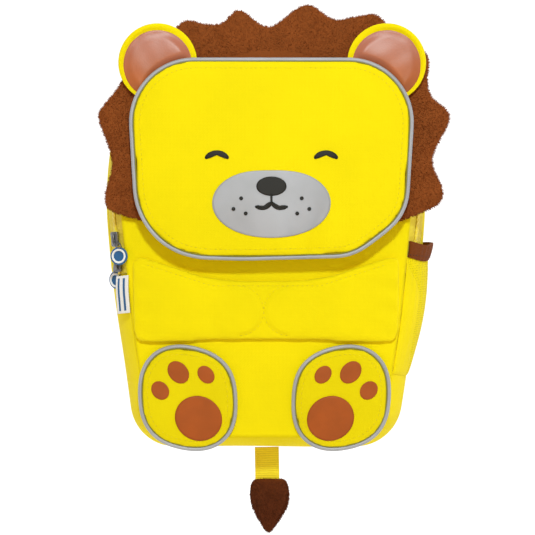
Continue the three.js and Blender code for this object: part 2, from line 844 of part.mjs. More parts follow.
// A rectangular ring with rounded corners swept from a small section, in its own X and Y
function frameSolid(width, height, bar, thickness) {
  const outline = roundedOutline(
    [
      [(width - bar) / 2, -(height - bar) / 2, bar, 3],
      [(width - bar) / 2, (height - bar) / 2, bar, 3],
      [-(width - bar) / 2, (height - bar) / 2, bar, 3],
      [-(width - bar) / 2, -(height - bar) / 2, bar, 3],
    ],
    width,
  );
  const loops = outline.map((point, index) => {
    const before = outline[(index + outline.length - 1) % outline.length];
    const after = outline[(index + 1) % outline.length];
    const length = Math.hypot(after[0] - before[0], after[1] - before[1]);
    const out = [(after[1] - before[1]) / length, (before[0] - after[0]) / length];
    return [[-1, -1], [1, -1], [1, 1], [-1, 1]].map(([u, v]) => [
      point[0] + (out[0] * u * bar) / 2,
      point[1] + (out[1] * u * bar) / 2,
      (v * thickness) / 2,
    ]);
  });
  return sweepSolid(loops, true);
}

function toManifold(geometry) {
  const plain = geometry.clone();
  plain.deleteAttribute('normal');
  plain.deleteAttribute('uv');
  const merged = mergeVertices(plain, 1e-4);
  return new wasm.Manifold(new wasm.Mesh({
    numProp: 3,
    vertProperties: new Float32Array(merged.attributes.position.array),
    triVerts: new Uint32Array(merged.index.array),
  }));
}

function fromManifold(manifold) {
  const mesh = manifold.getMesh();
  const geometry = new THREE.BufferGeometry();
  geometry.setAttribute('position', new THREE.BufferAttribute(mesh.vertProperties, 3));
  geometry.setIndex(new THREE.BufferAttribute(mesh.triVerts, 1));
  geometry.computeVertexNormals();
  return geometry;
}

// Shoulder straps, webbing and adjusters on the back
const strapRise = gap + strapPad / 2;
const adjusterHeight = 24;
const adjusterBar = 4;
const adjusterThickness = 3;
const strapPath = (side) => [
  [side * strapSpread, strapRise, strapSeam],
  [side * strapSpread, strapRise + 3, strapSeam + 16],
  [side * (strapSpread + 2), strapCrestDepth, strapCrest],
  [side * (strapSpread + 5), strapBow - 12, strapCrest - 15],
  [side * (strapSpread + 9), strapBow, strapCrest - 61],
  [side * (strapSpread + 12), strapBow - 2, strapEnd + 46],
  [side * (strapSpread + 15), strapEndDepth, strapEnd],
];
const strapTilt = Math.atan2(12, 46);
for (const [side, name] of [[-1, 'left'], [1, 'right']]) {
  const path = strapPath(side);
  addPiece(`shoulder_strap_${name}`, bandSolid(path, 16, strapWidth, strapPad, 0.09), 'yellow_cloth');
  const end = new THREE.Vector3(...path[path.length - 1]);
  const along = new THREE.Vector3(side * 3, -12, -46).normalize();
  const middle = end.clone().addScaledVector(along, adjusterHeight / 2 + 4 * gap);
  const crossBar = new THREE.BoxGeometry(webWidth + 2 * adjusterBar, adjusterBar, adjusterThickness);
  const frame = frameSolid(webWidth + 2 * adjusterBar + 2, adjusterHeight, adjusterBar, adjusterThickness);
  const adjuster = fromManifold(toManifold(frame).add(toManifold(crossBar)));
  adjuster.rotateX(Math.PI / 2 + strapTilt);
  adjuster.translate(middle.x, middle.y, middle.z);
  addPiece(`strap_adjuster_${name}`, adjuster, 'yellow_plastic');
  const webTop = middle.clone().add(new THREE.Vector3(0, -(adjusterThickness + webThickness) / 2 - 2 * gap, 0));
  const webPath = [
    [webTop.x, webTop.y, webTop.z],
    [webTop.x + side * 3, webTop.y - 8, webTop.z - 31],
    [side * (strapSpread + 28), 6, webSeam + 16],
    [side * (strapSpread + 29), gap + webThickness / 2, webSeam],
  ];
  addPiece(`strap_webbing_${name}`, bandSolid(webPath, 8, webWidth, webThickness), 'yellow_webbing');
}

// Chest strap, fastened in the middle with one plain buckle
const strapCurve = new THREE.CatmullRomCurve3(strapPath(1).map((point) => new THREE.Vector3(...point)));
const strapFace = Math.max(...strapCurve.getPoints(60).map((point) => point.y)) + strapPad / 2;
const chestDepth = strapFace + gap + webThickness / 2;
const chestLength = strapSpread + 12 - buckleWidth / 2;
addPiece(
  'chest_buckle',
  new THREE.BoxGeometry(buckleWidth, buckleThickness, buckleHeight).translate(0, chestDepth, chestHeight),
  'yellow_plastic',
);
for (const [side, name] of [[-1, 'left'], [1, 'right']]) {
  addPiece(
    `chest_strap_${name}`,
    new THREE.BoxGeometry(chestLength, webThickness, webWidth)
      .translate(side * (buckleWidth / 2 + gap + chestLength / 2), chestDepth, chestHeight),
    'yellow_webbing',
  );
}

// Hang loop at the top of the back
const handleSteps = 10;
const handleRadius = handleSpan / 2;
const handleThickness = 3;
const handlePath = [[-1, handleSeam], [-1, (handleSeam + handleTop) / 2 - handleRadius / 2]].map(([side, height]) =>
  [side * handleRadius, height, side, 0]);
for (let step = 0; step <= handleSteps; step++) {
  const angle = Math.PI - (Math.PI * step) / handleSteps;
  const arc = [handleRadius * Math.cos(angle), handleTop - handleWidth / 2 - handleRadius + handleRadius * Math.sin(angle)];
  handlePath.push([...arc, Math.cos(angle), Math.sin(angle)]);
}
handlePath.push([handleRadius, handleSeam, 1, 0]);
addPiece(
  'grab_handle',
  sweepSolid(
    handlePath.map(([x, z, outX, outZ]) =>
      [[-1, 0], [1, 0], [1, 1], [-1, 1]].map(([u, v]) => [
        x + (outX * u * handleWidth) / 2,
        gap + handleThickness * v,
        z + (outZ * u * handleWidth) / 2,
      ])),
    false,
  ),
  'yellow_webbing',
);

// Ring for a rein in a folded tab
const tabWidth = 14;
const tabThickness = 1.4;
const barRadius = ringWire / 2;
const tabInner = barRadius + gap;
const tabDepth = gap + tabThickness + tabInner;
const tabPath = [[tabDepth - tabInner - tabThickness / 2, ringHeight + 16]];
for (let step = 0; step <= 8; step++) {
  const angle = Math.PI + (Math.PI * step) / 8;
  const radius = tabInner + tabThickness / 2;
  tabPath.push([tabDepth + radius * Math.cos(angle), ringHeight + radius * Math.sin(angle)]);
}
tabPath.push([tabDepth + tabInner + tabThickness / 2, ringHeight + 16]);
const tabLoops = tabPath.map(([y, z], index) => {
  const before = tabPath[Math.max(0, index - 1)];
  const after = tabPath[Math.min(tabPath.length - 1, index + 1)];
  const length = Math.hypot(after[0] - before[0], after[1] - before[1]);
  const out = [(after[1] - before[1]) / length, (before[0] - after[0]) / length];
  return [[-1, -1], [1, -1], [1, 1], [-1, 1]].map(([u, v]) => [
    (tabWidth / 2) * u,
    y + (out[0] * v * tabThickness) / 2,
    z + (out[1] * v * tabThickness) / 2,
  ]);
});
addPiece('ring_tab', sweepSolid(tabLoops, false), 'yellow_webbing');
const ringDrop = 17;
const ringOutline = roundedOutline(
  [
    [ringWidth / 2, ringHeight, 4, 3],
    [-ringWidth / 2, ringHeight, 4, 3],
    [-ringWidth / 2, ringHeight - ringDrop, 9, 4],
    [ringWidth / 2, ringHeight - ringDrop, 9, 4],
  ],
  ringWidth,
);
addPiece('rein_ring', edgePiping(ringOutline, barRadius, () => tabDepth), 'zip_metal');

export default scene;
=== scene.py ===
"""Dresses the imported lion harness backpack: cloth, plush, piping, prints, zip, straps and the stage.

Shapes are worked out in millimetres in the frame's own axes and put into the meshes in metres.
The front faces -Y, +Z is up and the back panel lies at Y = 0."""

import bmesh
import bpy
import numpy as np
from bpy.props import FloatProperty, PointerProperty, StringProperty
from mathutils import Euler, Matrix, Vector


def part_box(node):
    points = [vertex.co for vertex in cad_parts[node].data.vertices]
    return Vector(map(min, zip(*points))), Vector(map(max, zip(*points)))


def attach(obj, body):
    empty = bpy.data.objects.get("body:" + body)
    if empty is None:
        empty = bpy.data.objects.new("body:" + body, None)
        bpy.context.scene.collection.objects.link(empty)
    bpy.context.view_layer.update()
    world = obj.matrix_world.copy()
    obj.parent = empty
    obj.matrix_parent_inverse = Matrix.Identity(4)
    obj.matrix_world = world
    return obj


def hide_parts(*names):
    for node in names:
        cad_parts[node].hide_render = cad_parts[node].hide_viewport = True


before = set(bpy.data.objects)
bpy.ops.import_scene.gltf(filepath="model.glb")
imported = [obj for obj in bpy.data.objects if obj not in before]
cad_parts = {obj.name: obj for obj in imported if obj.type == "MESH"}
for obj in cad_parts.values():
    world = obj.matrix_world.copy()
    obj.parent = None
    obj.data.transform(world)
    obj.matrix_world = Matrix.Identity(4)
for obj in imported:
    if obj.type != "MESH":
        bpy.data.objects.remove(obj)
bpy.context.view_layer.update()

bl_info = {
    "name": "Lion harness backpack",
    "version": (1, 0, 0),
    "blender": (4, 5, 0),
    "location": "View3D > Sidebar > Backpack",
    "description": "Builds the cloth, plush and trim of a toddler's lion backpack on its packed frame",
    "category": "Add Mesh",
}

MM = 0.001
TURN = 2 * np.pi

# Driving sizes, as in the part
GAP = 0.3
SEAT = 0.85
CLOTH = 2.0
NET = 0.7
THIN_CLOTH = 1.4
HALF = 110.5
FOOT = 134.5
BODY_DEPTH = 78.0
BACK_INSET = 6.0
FRONT_INSET = 12.0
FRONT_ROUNDING = 2.8
FULLER_FOOT = 0.3
WIDEST_SHARE = 0.4
FRONT_DOME = 8.0
BACK_PAD = 4.0
ZIP_HEIGHT = -18.0
ZIP_START = 0.73
COIL_START = 0.855
COIL_END = 0.905
FLAP_SHIFT = 3.6
FLAP_HALF = 94.0
FLAP_TAPER = 0.915
FLAP_TOP = 123.7
FLAP_BOTTOM = -5.9
PIPING = 1.4
MANE_REACH = 120.0
MANE_CENTRE = 60.0
MANE_THICK = 7.4
EAR_RADIUS = 26.2
EAR_SPREAD = MANE_REACH * 0.6335
EAR_HEIGHT = MANE_CENTRE + MANE_REACH * 0.528
EAR_SHIFT = 0.5
EAR_THICK = 2.6
EAR_LEAN = 1.5
LINING = 1.0
FOOT_RADIUS = 32.2
PAW_REACH = 30.9
FOOT_LEAN = 0.873
FOOT_SPREAD = 50.5
FOOT_SHIFT = -1.0
FOOT_CENTRE = -99.8
POCKET_TOP = -7.0
POCKET_BOTTOM = -86.0
POCKET_BULGE = 4.9
POCKET_TURN = 2.4
STRIP_FOOT = 0.7
MOUTH_SHARES = (0.05, 0.99)
BINDING_FLARE = 1.5
TAG_SHIFT = np.array([1.6, -1.8, 0])
SLIDER_SHIFT = np.array([1.2, -3.2, 0])
LINK_SHIFT = np.array([1.2, -3.0, 0])
PULL_SHIFT = np.array([1.6, -3.0, -1.5])
PULL_RADIUS = 6.0
HAND_RADIUS = 16.4
HAND_HEIGHT = -41.4
STRAP_SPREAD = 42.0
STRAP_WIDTH = 44.0
STRAP_PAD = 8.0
WEB_WIDTH = 20.0
TAIL_DEPTH = -BODY_DEPTH * 0.55


# Outlines and the body's surface


def unit(vectors):
    """Each vector over its own length."""
    return vectors / np.maximum(np.linalg.norm(vectors, axis=-1, keepdims=True), 1e-9)


def closed_steps(points, count):
    """A closed line cut again into equal steps along its length."""
    ring = np.vstack([points, points[:1]])
    run = np.concatenate([[0], np.cumsum(np.linalg.norm(np.diff(ring, axis=0), axis=1))])
    at = np.linspace(0, run[-1], count, endpoint=False)
    return np.stack([np.interp(at, run, ring[:, axis]) for axis in range(ring.shape[1])], axis=1)


def rounded_outline(corners, count):
    """An outline through rows of x, z and radius, each corner an arc that touches both its sides."""
    corners = np.asarray(corners, float)
    here, radius = corners[:, :2], corners[:, 2:3]
    into = unit(np.roll(here, 1, 0) - here)
    out = unit(np.roll(here, -1, 0) - here)
    half = np.arccos(np.clip((into * out).sum(1, keepdims=True), -1, 1)) / 2
    hub = here + unit(into + out) * radius / np.sin(half)
    first, last = [np.arctan2(*(here + way * radius / np.tan(half) - hub).T[::-1]) for way in (into, out)]
    turn = last - first
    turn -= TURN * np.round(turn / TURN)
    angle = first[:, None] + turn[:, None] * np.linspace(0, 1, 15)
    arc = hub[:, None] + radius[:, None] * np.stack([np.cos(angle), np.sin(angle)], -1)
    return closed_steps(arc.reshape(-1, 2), count)


def mirrored(corners):
    return [(-x, z, radius) for x, z, radius in reversed(corners)]


def outward(outline):
    """Normals in the plane of a closed outline that turns anticlockwise."""
    along = np.roll(outline, -1, 0) - np.roll(outline, 1, 0)
    return unit(np.stack([along[:, 1], -along[:, 0]], 1))


def ellipse(x, z, half_width, half_height, count=48, tilt=0.0):
    angle = np.arange(count) * TURN / count
    across, up = half_width * np.cos(angle), half_height * np.sin(angle)
    return np.stack(
        [x + across * np.cos(tilt) - up * np.sin(tilt), z + across * np.sin(tilt) + up * np.cos(tilt)], 1
    )


BODY_CORNERS = [
    (HALF * 0.8, -FOOT, 31),
    (HALF * 0.92, -FOOT * 0.35, 600),
    (HALF, FOOT * 0.3, 200),
    (HALF * 0.87, FOOT, 58),
]
BODY_STEPS = 480
BODY = rounded_outline(BODY_CORNERS + mirrored(BODY_CORNERS), BODY_STEPS)
BODY_OUT = outward(BODY)


def on_ring(table, position):
    """A closed table read between its rows at positions counted in rows."""
    low = np.floor(position).astype(int)
    mix = (position - low)[..., None]
    return table[low % len(table)] * (1 - mix) + table[(low + 1) % len(table)] * mix


def inset(share, low=0.0):
    """How far the outline lies inside its widest form: a parabola to the back, a steeper power to the
    front.
    Along the foot, where low is 1, the front edge stays fuller."""
    back = np.clip((WIDEST_SHARE - share) / WIDEST_SHARE, 0, None) ** 2
    front = np.clip((share - WIDEST_SHARE) / (1 - WIDEST_SHARE), 0, None) ** FRONT_ROUNDING
    return -BACK_INSET * back - FRONT_INSET * (1 - FULLER_FOOT * low) * front


def body_side(position, share, rise=0.0):
    """A point on the body's side: the outline moved out by the inset at a share of the depth, then by rise
    along the normal."""
    position, share, rise = np.broadcast_arrays(np.asarray(position, float), share, rise)
    low = smooth(-on_ring(BODY, position)[..., 1], 105, 130)
    slope = (inset(share + 0.01, low) - inset(share - 0.01, low)) / 0.02
    length = np.hypot(BODY_DEPTH, slope)
    out = (inset(share, low) + rise * BODY_DEPTH / length)[..., None]
    flat = on_ring(BODY, position) + on_ring(BODY_OUT, position) * out
    depth = -BACK_PAD - GAP - (BODY_DEPTH - BACK_PAD - GAP) * share + rise * slope / length
    return np.stack([flat[..., 0], depth, flat[..., 1]], -1)


def side_position(height, side):
    """The outline position where the body's right or left side passes a height."""
    rows = np.arange(BODY_STEPS)
    pick = rows[(BODY[:, 0] * side > HALF * 0.5) & (np.abs(BODY[:, 1]) < FOOT * 0.98)]
    order = pick[np.argsort(BODY[pick, 1])]
    return np.interp(height, BODY[order, 1], order)


def lift(share):
    return 1 - np.minimum(1, np.abs(share)) ** 2


def front_surface(x, z):
    """The front panel's outer face: a dome that falls as the square of the share of its half width and
    height."""
    low = (z + FOOT) / (FOOT * 1.3)
    high = (z - FOOT * 0.3) / (FOOT * 0.7)
    half = HALF * np.where(z < FOOT * 0.3, 0.81 + 0.19 * low, 1 - 0.13 * high) - FRONT_INSET
    return -BODY_DEPTH - FRONT_DOME * lift(x / half) * lift(z / (FOOT - FRONT_INSET)) - GAP - CLOTH


def mane_back(x, z):
    return front_surface(x, z) - SEAT


def ear_back(x, z):
    return mane_back(x, z) - MANE_THICK - SEAT


def flap_back(x, z):
    return ear_back(x, z) - EAR_THICK - LINING - 2 * GAP


def smooth(value, low, high):
    share = np.clip((value - low) / (high - low), 0, 1)
    return share * share * (3 - 2 * share)


def ripples(points, length, seed, count=7):
    """A soft uneven field from -1 to 1: the mean of sines in fixed random directions about one
    wavelength."""
    rng = np.random.default_rng(seed)
    ways = unit(rng.normal(size=(count, 3))) * TURN / (length * rng.uniform(0.7, 1.5, (count, 1)))
    return np.sin(points @ ways.T + rng.uniform(0, TURN, count)).mean(-1) * 1.6


# Meshes


def mesh_piece(name, points, faces, material, uv=None, smooth_faces=True):
    """A piece from points in millimetres and faces, with a cloth UV in metres."""
    mesh = bpy.data.meshes.new(name)
    mesh.from_pydata(
        (np.asarray(points, float) * MM).tolist(),
        [],
        np.asarray(faces).tolist() if isinstance(faces, np.ndarray) else faces,
    )
    mesh.polygons.foreach_set("use_smooth", np.full(len(mesh.polygons), smooth_faces))
    piece = bpy.data.objects.new(name, mesh)
    bpy.context.scene.collection.objects.link(piece)
    set_cloth_uv(piece, uv)
    mesh.materials.append(material)
    mesh.update()
    return piece


def set_cloth_uv(piece, uv=None):
    """Lays the cloth's threads: the given grid of lengths in metres, or X and Z seen from the front."""
    mesh = piece.data
    layer = mesh.uv_layers.get("cloth") or mesh.uv_layers.new(name="cloth")
    if uv is None:
        points = np.empty(len(mesh.vertices) * 3)
        mesh.vertices.foreach_get("co", points)
        uv = points.reshape(-1, 3)[:, [0, 2]]
    corner = np.empty(len(mesh.loops), int)
    mesh.loops.foreach_get("vertex_index", corner)
    layer.data.foreach_set("uv", np.asarray(uv)[corner].ravel())


def grid_faces(rows, columns, close_rows=False, close_columns=False, start=0):
    """Quads of a grid of points stored row by row."""
    row = np.arange(rows if close_rows else rows - 1)[:, None]
    column = np.arange(columns if close_columns else columns - 1)[None, :]
    after_row, after_column = (row + 1) % rows, (column + 1) % columns
    corners = [row * columns + column, after_row * columns + column]
    corners += [after_row * columns + after_column, row * columns + after_column]
    return np.stack([start + corner + 0 * row * column for corner in corners], -1).reshape(-1, 4)


def arc_uv(points):
    """Lengths in metres along the rows and the columns of a grid, measured on its surface."""
    down = np.linalg.norm(np.diff(points, axis=0), axis=-1).mean(1)
    over = np.linalg.norm(np.diff(points, axis=1), axis=-1).mean(0)
    u, v = np.concatenate([[0], np.cumsum(down)]), np.concatenate([[0], np.cumsum(over)])
    return np.stack(np.meshgrid(u, v, indexing="ij"), -1).reshape(-1, 2) * MM


def cloth_grid(name, points, material, thickness):
    """A cloth sheet over a grid whose given points are its outer face; a Solidify wall goes inwards."""
    piece = mesh_piece(name, points.reshape(-1, 3), grid_faces(*points.shape[:2]), material, arc_uv(points))
    wall(piece, thickness)
    return piece


def wall(piece, thickness, offset=-1.0):
    solid = piece.modifiers.new("wall", "SOLIDIFY")
    solid.thickness = thickness * MM
    solid.offset = offset
    return solid


def swept(name, loops, material, close=False, uv=None):
    """Loops of points joined in order, with a fan over each open end."""
    rows, count = loops.shape[:2]
    points = loops.reshape(-1, 3)
    faces = grid_faces(rows, count, close, True).tolist()
    if not close:
        points = np.vstack([points, loops[0].mean(0), loops[-1].mean(0)])
        step = np.arange(count)
        after = (step + 1) % count
        last = (rows - 1) * count
        faces += np.stack([np.full(count, rows * count), step, after], 1)[:, ::1].tolist()
        faces += np.stack([np.full(count, rows * count + 1), last + after, last + step], 1).tolist()
    if uv is None:
        along = np.concatenate([[0], np.cumsum(np.linalg.norm(np.diff(loops.mean(1), axis=0), axis=1))])
        closed = np.concatenate([loops[0], loops[0][:1]])
        around = np.concatenate([[0], np.cumsum(np.linalg.norm(np.diff(closed, axis=0), axis=1))])[:-1]
        uv = np.stack(np.meshgrid(along, around, indexing="ij"), -1).reshape(-1, 2) * MM
        if not close:
            uv = np.vstack([uv, uv[0], uv[-1]])
    piece = mesh_piece(name, points, faces, material, uv)
    face_outwards(piece)
    return piece


def face_outwards(piece):
    work = bmesh.new()
    work.from_mesh(piece.data)
    bmesh.ops.recalc_face_normals(work, faces=work.faces)
    work.to_mesh(piece.data)
    work.free()


def pad_points(outline, shares, face, back):
    """Rings of a pad over an outline: front rings from the centre out, then back rings from the edge in."""
    centre = (outline.min(0) + outline.max(0)) / 2
    flat = centre + (outline - centre)[None] * np.asarray(shares)[:, None, None]
    share = np.broadcast_to(np.asarray(shares)[:, None], flat.shape[:2])
    front = np.stack([flat[..., 0], face(flat[..., 0], flat[..., 1], share), flat[..., 1]], -1)
    rear = np.stack([flat[..., 0], back(flat[..., 0], flat[..., 1], share), flat[..., 1]], -1)
    return np.concatenate([front, rear[::-1]])


def pad_piece(name, outline, shares, face, back, material):
    """A closed pad whose face and back depths are functions of x, z and the share from centre to edge."""
    return swept(name, pad_points(outline, shares, face, back), material, uv=None)


def tube(name, path, radius, material, sides=10, close=True):
    """A round cord about a path near the XZ plane: circles spanned by the in-plane normal and Y."""
    along = np.roll(path, -1, 0) - np.roll(path, 1, 0)
    if not close:
        along[0], along[-1] = path[1] - path[0], path[-1] - path[-2]
    along = unit(along)
    level = np.array([0.0, 1.0, 0.0])
    over = unit(np.cross(along, level))
    up = np.cross(over, along)
    angle = np.arange(sides) * TURN / sides
    loops = (
        path[:, None]
        + radius * (over[:, None] * np.cos(angle)[:, None] + up[:, None] * np.sin(angle)[:, None])
    )
    return swept(name, loops, material, close)


def band(
    name, path, width, thickness, material, steps, crown=0.0, section=24, side=(1.0, 0.0, 0.0),
    round_edge=0.5,
):
    """A flat band along a path: an upright superellipse section, its width level and its face turned with
    the path."""
    path = open_steps(smooth_line(path), steps)
    along = unit(np.gradient(path, axis=0))
    side = np.asarray(side, float)
    across = unit(side - along * (along @ side)[:, None])
    out = np.cross(across, along)
    angle = np.arange(section) * TURN / section
    u = np.sign(np.cos(angle)) * np.abs(np.cos(angle)) ** round_edge * width / 2
    v = np.sign(np.sin(angle)) * np.abs(np.sin(angle)) ** round_edge * thickness / 2
    v = v * (1 + crown * (1 - (2 * u / width) ** 2))
    loops = path[:, None] + across[:, None] * u[:, None] + out[:, None] * v[:, None]
    return swept(name, loops, material), path, across, out


def smooth_line(points, per_span=16):
    """A line through all given points, by Catmull and Rom's cubic."""
    points = np.asarray(points, float)
    ends = np.vstack([2 * points[0] - points[1], points, 2 * points[-1] - points[-2]])
    t = np.linspace(0, 1, per_span, endpoint=False)[:, None]
    a, b, c, d = [ends[start : len(ends) - 3 + start, None] for start in range(4)]
    line = 0.5 * (2 * b + (c - a) * t + (2 * a - 5 * b + 4 * c - d) * t**2 + (3 * b - a - 3 * c + d) * t**3)
    return np.vstack([line.reshape(-1, points.shape[1]), points[-1:]])


def open_steps(line, count):
    run = np.concatenate([[0], np.cumsum(np.linalg.norm(np.diff(line, axis=0), axis=1))])
    at = np.linspace(0, run[-1], count)
    return np.stack([np.interp(at, run, line[:, axis]) for axis in range(line.shape[1])], 1)


def read_points(piece):
    points = np.empty(len(piece.data.vertices) * 3)
    piece.data.vertices.foreach_get("co", points)
    return points.reshape(-1, 3) / MM


def write_points(piece, points):
    piece.data.vertices.foreach_set("co", (points * MM).ravel())
    piece.data.update()


def baked(piece):
    """Turns the piece's modifiers into its mesh."""
    graph = bpy.context.evaluated_depsgraph_get()
    mesh = bpy.data.meshes.new_from_object(piece.evaluated_get(graph))
    piece.modifiers.clear()
    old = piece.data
    piece.data = mesh
    bpy.data.meshes.remove(old)


def inflate(piece, pinned, pressure, cap, voxel=4.5, frames=20):
    """Stuffs a closed pad: an even remesh, then cloth under air pressure with its seam pinned and each move
    capped."""
    remesh = piece.modifiers.new("even", "REMESH")
    remesh.mode = "VOXEL"
    remesh.voxel_size = voxel * MM
    baked(piece)
    start = read_points(piece)
    seam = piece.vertex_groups.new(name="seam")
    seam.add(np.flatnonzero(pinned(start)).tolist(), 1.0, "REPLACE")
    cloth = piece.modifiers.new("stuffing", "CLOTH")
    cloth.settings.quality = 5
    cloth.settings.use_pressure = True
    cloth.settings.uniform_pressure_force = pressure
    cloth.settings.effector_weights.gravity = 0
    cloth.settings.vertex_group_mass = "seam"
    for number in range(1, frames + 1):
        bpy.context.scene.frame_set(number)
    baked(piece)
    bpy.context.scene.frame_set(1)
    move = read_points(piece) - start
    length = np.linalg.norm(move, axis=1, keepdims=True)
    write_points(piece, start + move * np.minimum(1, cap / np.maximum(length, 1e-6)))
    piece.vertex_groups.clear()
    piece.data.polygons.foreach_set("use_smooth", np.ones(len(piece.data.polygons), bool))
    relax = piece.modifiers.new("relax", "SMOOTH")
    relax.factor, relax.iterations = 0.5, 4
    finer = piece.modifiers.new("finer", "SUBSURF")
    finer.levels = finer.render_levels = 1
    baked(piece)
    set_cloth_uv(piece)


def settle(piece, nodes, sheet=None):
    """Gives the piece its body and hides the CAD nodes that it stands for. The sheet, what kind of soft
    piece it is, is not used."""
    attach(piece, "root")
    if nodes:
        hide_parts(*nodes)
    return piece


def cut_size(piece, points):
    across = np.linalg.norm(np.diff(points, axis=1), axis=2).sum(1).mean() * MM
    along = np.linalg.norm(np.diff(points, axis=0), axis=2).sum(0).mean() * MM
    return {"flat": (across, along), "area": min(one_face(piece), across * along)}


def one_face(piece):
    """The surface of a sheet before its wall is added, in square metres."""
    faces = np.empty(len(piece.data.polygons))
    piece.data.polygons.foreach_get("area", faces)
    return faces.sum()


def add_pile(piece, count, length, width, lay, seed, material, keep=None):
    """Adds short pile to a piece: blades of two faces each, rooted at random places on its faces,
    leaning from the normal towards the lay with a random turn."""
    rng = np.random.default_rng(seed)
    mesh = piece.data
    mesh.calc_loop_triangles()
    triangles = np.empty(len(mesh.loop_triangles) * 3, int)
    mesh.loop_triangles.foreach_get("vertices", triangles)
    triangles = triangles.reshape(-1, 3)
    points = read_points(piece)
    a, b, c = (points[triangles[:, corner]] for corner in range(3))
    normal = np.cross(b - a, c - a)
    area = np.linalg.norm(normal, axis=1) / 2
    if keep is not None:
        area = area * keep((a + b + c) / 3, unit(normal))
    pick = rng.choice(len(area), count, p=area / area.sum())
    s, t = np.sqrt(rng.random((count, 1))), rng.random((count, 1))
    root = a[pick] * (1 - s) + b[pick] * s * (1 - t) + c[pick] * s * t
    out = unit(normal)[pick]
    way = unit(out * 0.75 + lay(root) + rng.normal(size=(count, 3)) * 0.33)
    size = length * rng.uniform(0.6, 1.15, (count, 1))
    across = unit(np.cross(way, rng.normal(size=(count, 3)))) * width / 2
    droop = lay(root) * size * 0.2
    middle, tip = root + way * size * 0.55, root + way * size * 0.95 + droop
    root = root - out * 0.2
    blades = np.stack([root - across, root + across, middle + across * 0.7, middle - across * 0.7, tip], 1)
    base = np.arange(count)[:, None] * 5
    quads, tips = base + np.array([0, 1, 2, 3]), base + np.array([3, 2, 4])
    pile = mesh_piece(piece.name + "_pile", blades.reshape(-1, 3), quads.tolist() + tips.tolist(), material)
    return pile


# Materials


def linear(hex_colour):
    """sRGB hex to the linear colour that a shader reads."""
    value = np.array([int(hex_colour[start : start + 2], 16) / 255 for start in (1, 3, 5)])
    return (*np.where(value <= 0.04045, value / 12.92, ((value + 0.055) / 1.055) ** 2.4), 1.0)


def shaded(hex_colour, factor):
    """The same colour made lighter or darker by a factor on its sRGB values."""
    value = [int(hex_colour[start : start + 2], 16) for start in (1, 3, 5)]
    return "#" + "".join(f"{int(min(255, max(0, part * factor))):02x}" for part in value)


def add_node(tree, kind, inputs=None, **settings):
    """Adds one node with its settings, and fills its inputs with values or with other nodes' outputs."""
    node = tree.nodes.new(kind)
    for key, value in settings.items():
        setattr(node, key, value)
    for key, value in (inputs or {}).items():
        if isinstance(value, bpy.types.NodeSocket):
            tree.links.new(value, node.inputs[key])
        else:
            node.inputs[key].default_value = value
    return node


def new_finish(name, roughness, **sockets):
    """A material with one Principled shader whose even values stand on its own sockets."""
    material = bpy.data.materials.new(name)
    material.use_nodes = True
    tree = material.node_tree
    shader = tree.nodes["Principled BSDF"]
    shader.inputs["Roughness"].default_value = roughness
    for key, value in sockets.items():
        shader.inputs[key.replace("_", " ")].default_value = value
    return material, tree, shader


def maths(tree, operation, first, second=0.0, clamp=False):
    return add_node(
        tree, "ShaderNodeMath", {0: first, 1: second}, operation=operation, use_clamp=clamp
    ).outputs[0]


def mottled(tree, vector, scale, dark, light, detail=3.0, low=0.35, high=0.65):
    """A colour that drifts between two shades with a noise."""
    noise = add_node(tree, "ShaderNodeTexNoise", {"Vector": vector, "Scale": scale, "Detail": detail})
    ramp = add_node(tree, "ShaderNodeValToRGB", {"Fac": noise.outputs["Fac"]})
    ramp.color_ramp.elements[0].position, ramp.color_ramp.elements[1].position = low, high
    ramp.color_ramp.elements[0].color, ramp.color_ramp.elements[1].color = linear(dark), linear(light)
    return ramp.outputs["Color"]


def mixed(tree, factor, first, second, blend="MIX"):
    node = add_node(tree, "ShaderNodeMix", data_type="RGBA", blend_type=blend)
    for socket, value in ((node.inputs[0], factor), (node.inputs[6], first), (node.inputs[7], second)):
        if isinstance(value, bpy.types.NodeSocket):
            tree.links.new(value, socket)
        else:
            socket.default_value = value
    return node.outputs[2]


def bands(tree, vector, period_mm, direction, profile="SIN"):
    """Bands one period apart along an axis of a vector in metres."""
    return add_node(
        tree,
        "ShaderNodeTexWave",
        {"Vector": vector, "Scale": TURN / 20 / (period_mm * MM), "Distortion": 0.0, "Detail": 0.0},
        wave_type="BANDS",
        bands_direction=direction,
        wave_profile=profile,
    ).outputs["Fac"]


def bumped(tree, shader, height, strength, distance_mm):
    bump = add_node(
        tree, "ShaderNodeBump", {"Height": height, "Strength": strength, "Distance": distance_mm * MM}
    )
    tree.links.new(bump.outputs["Normal"], shader.inputs["Normal"])
    return bump


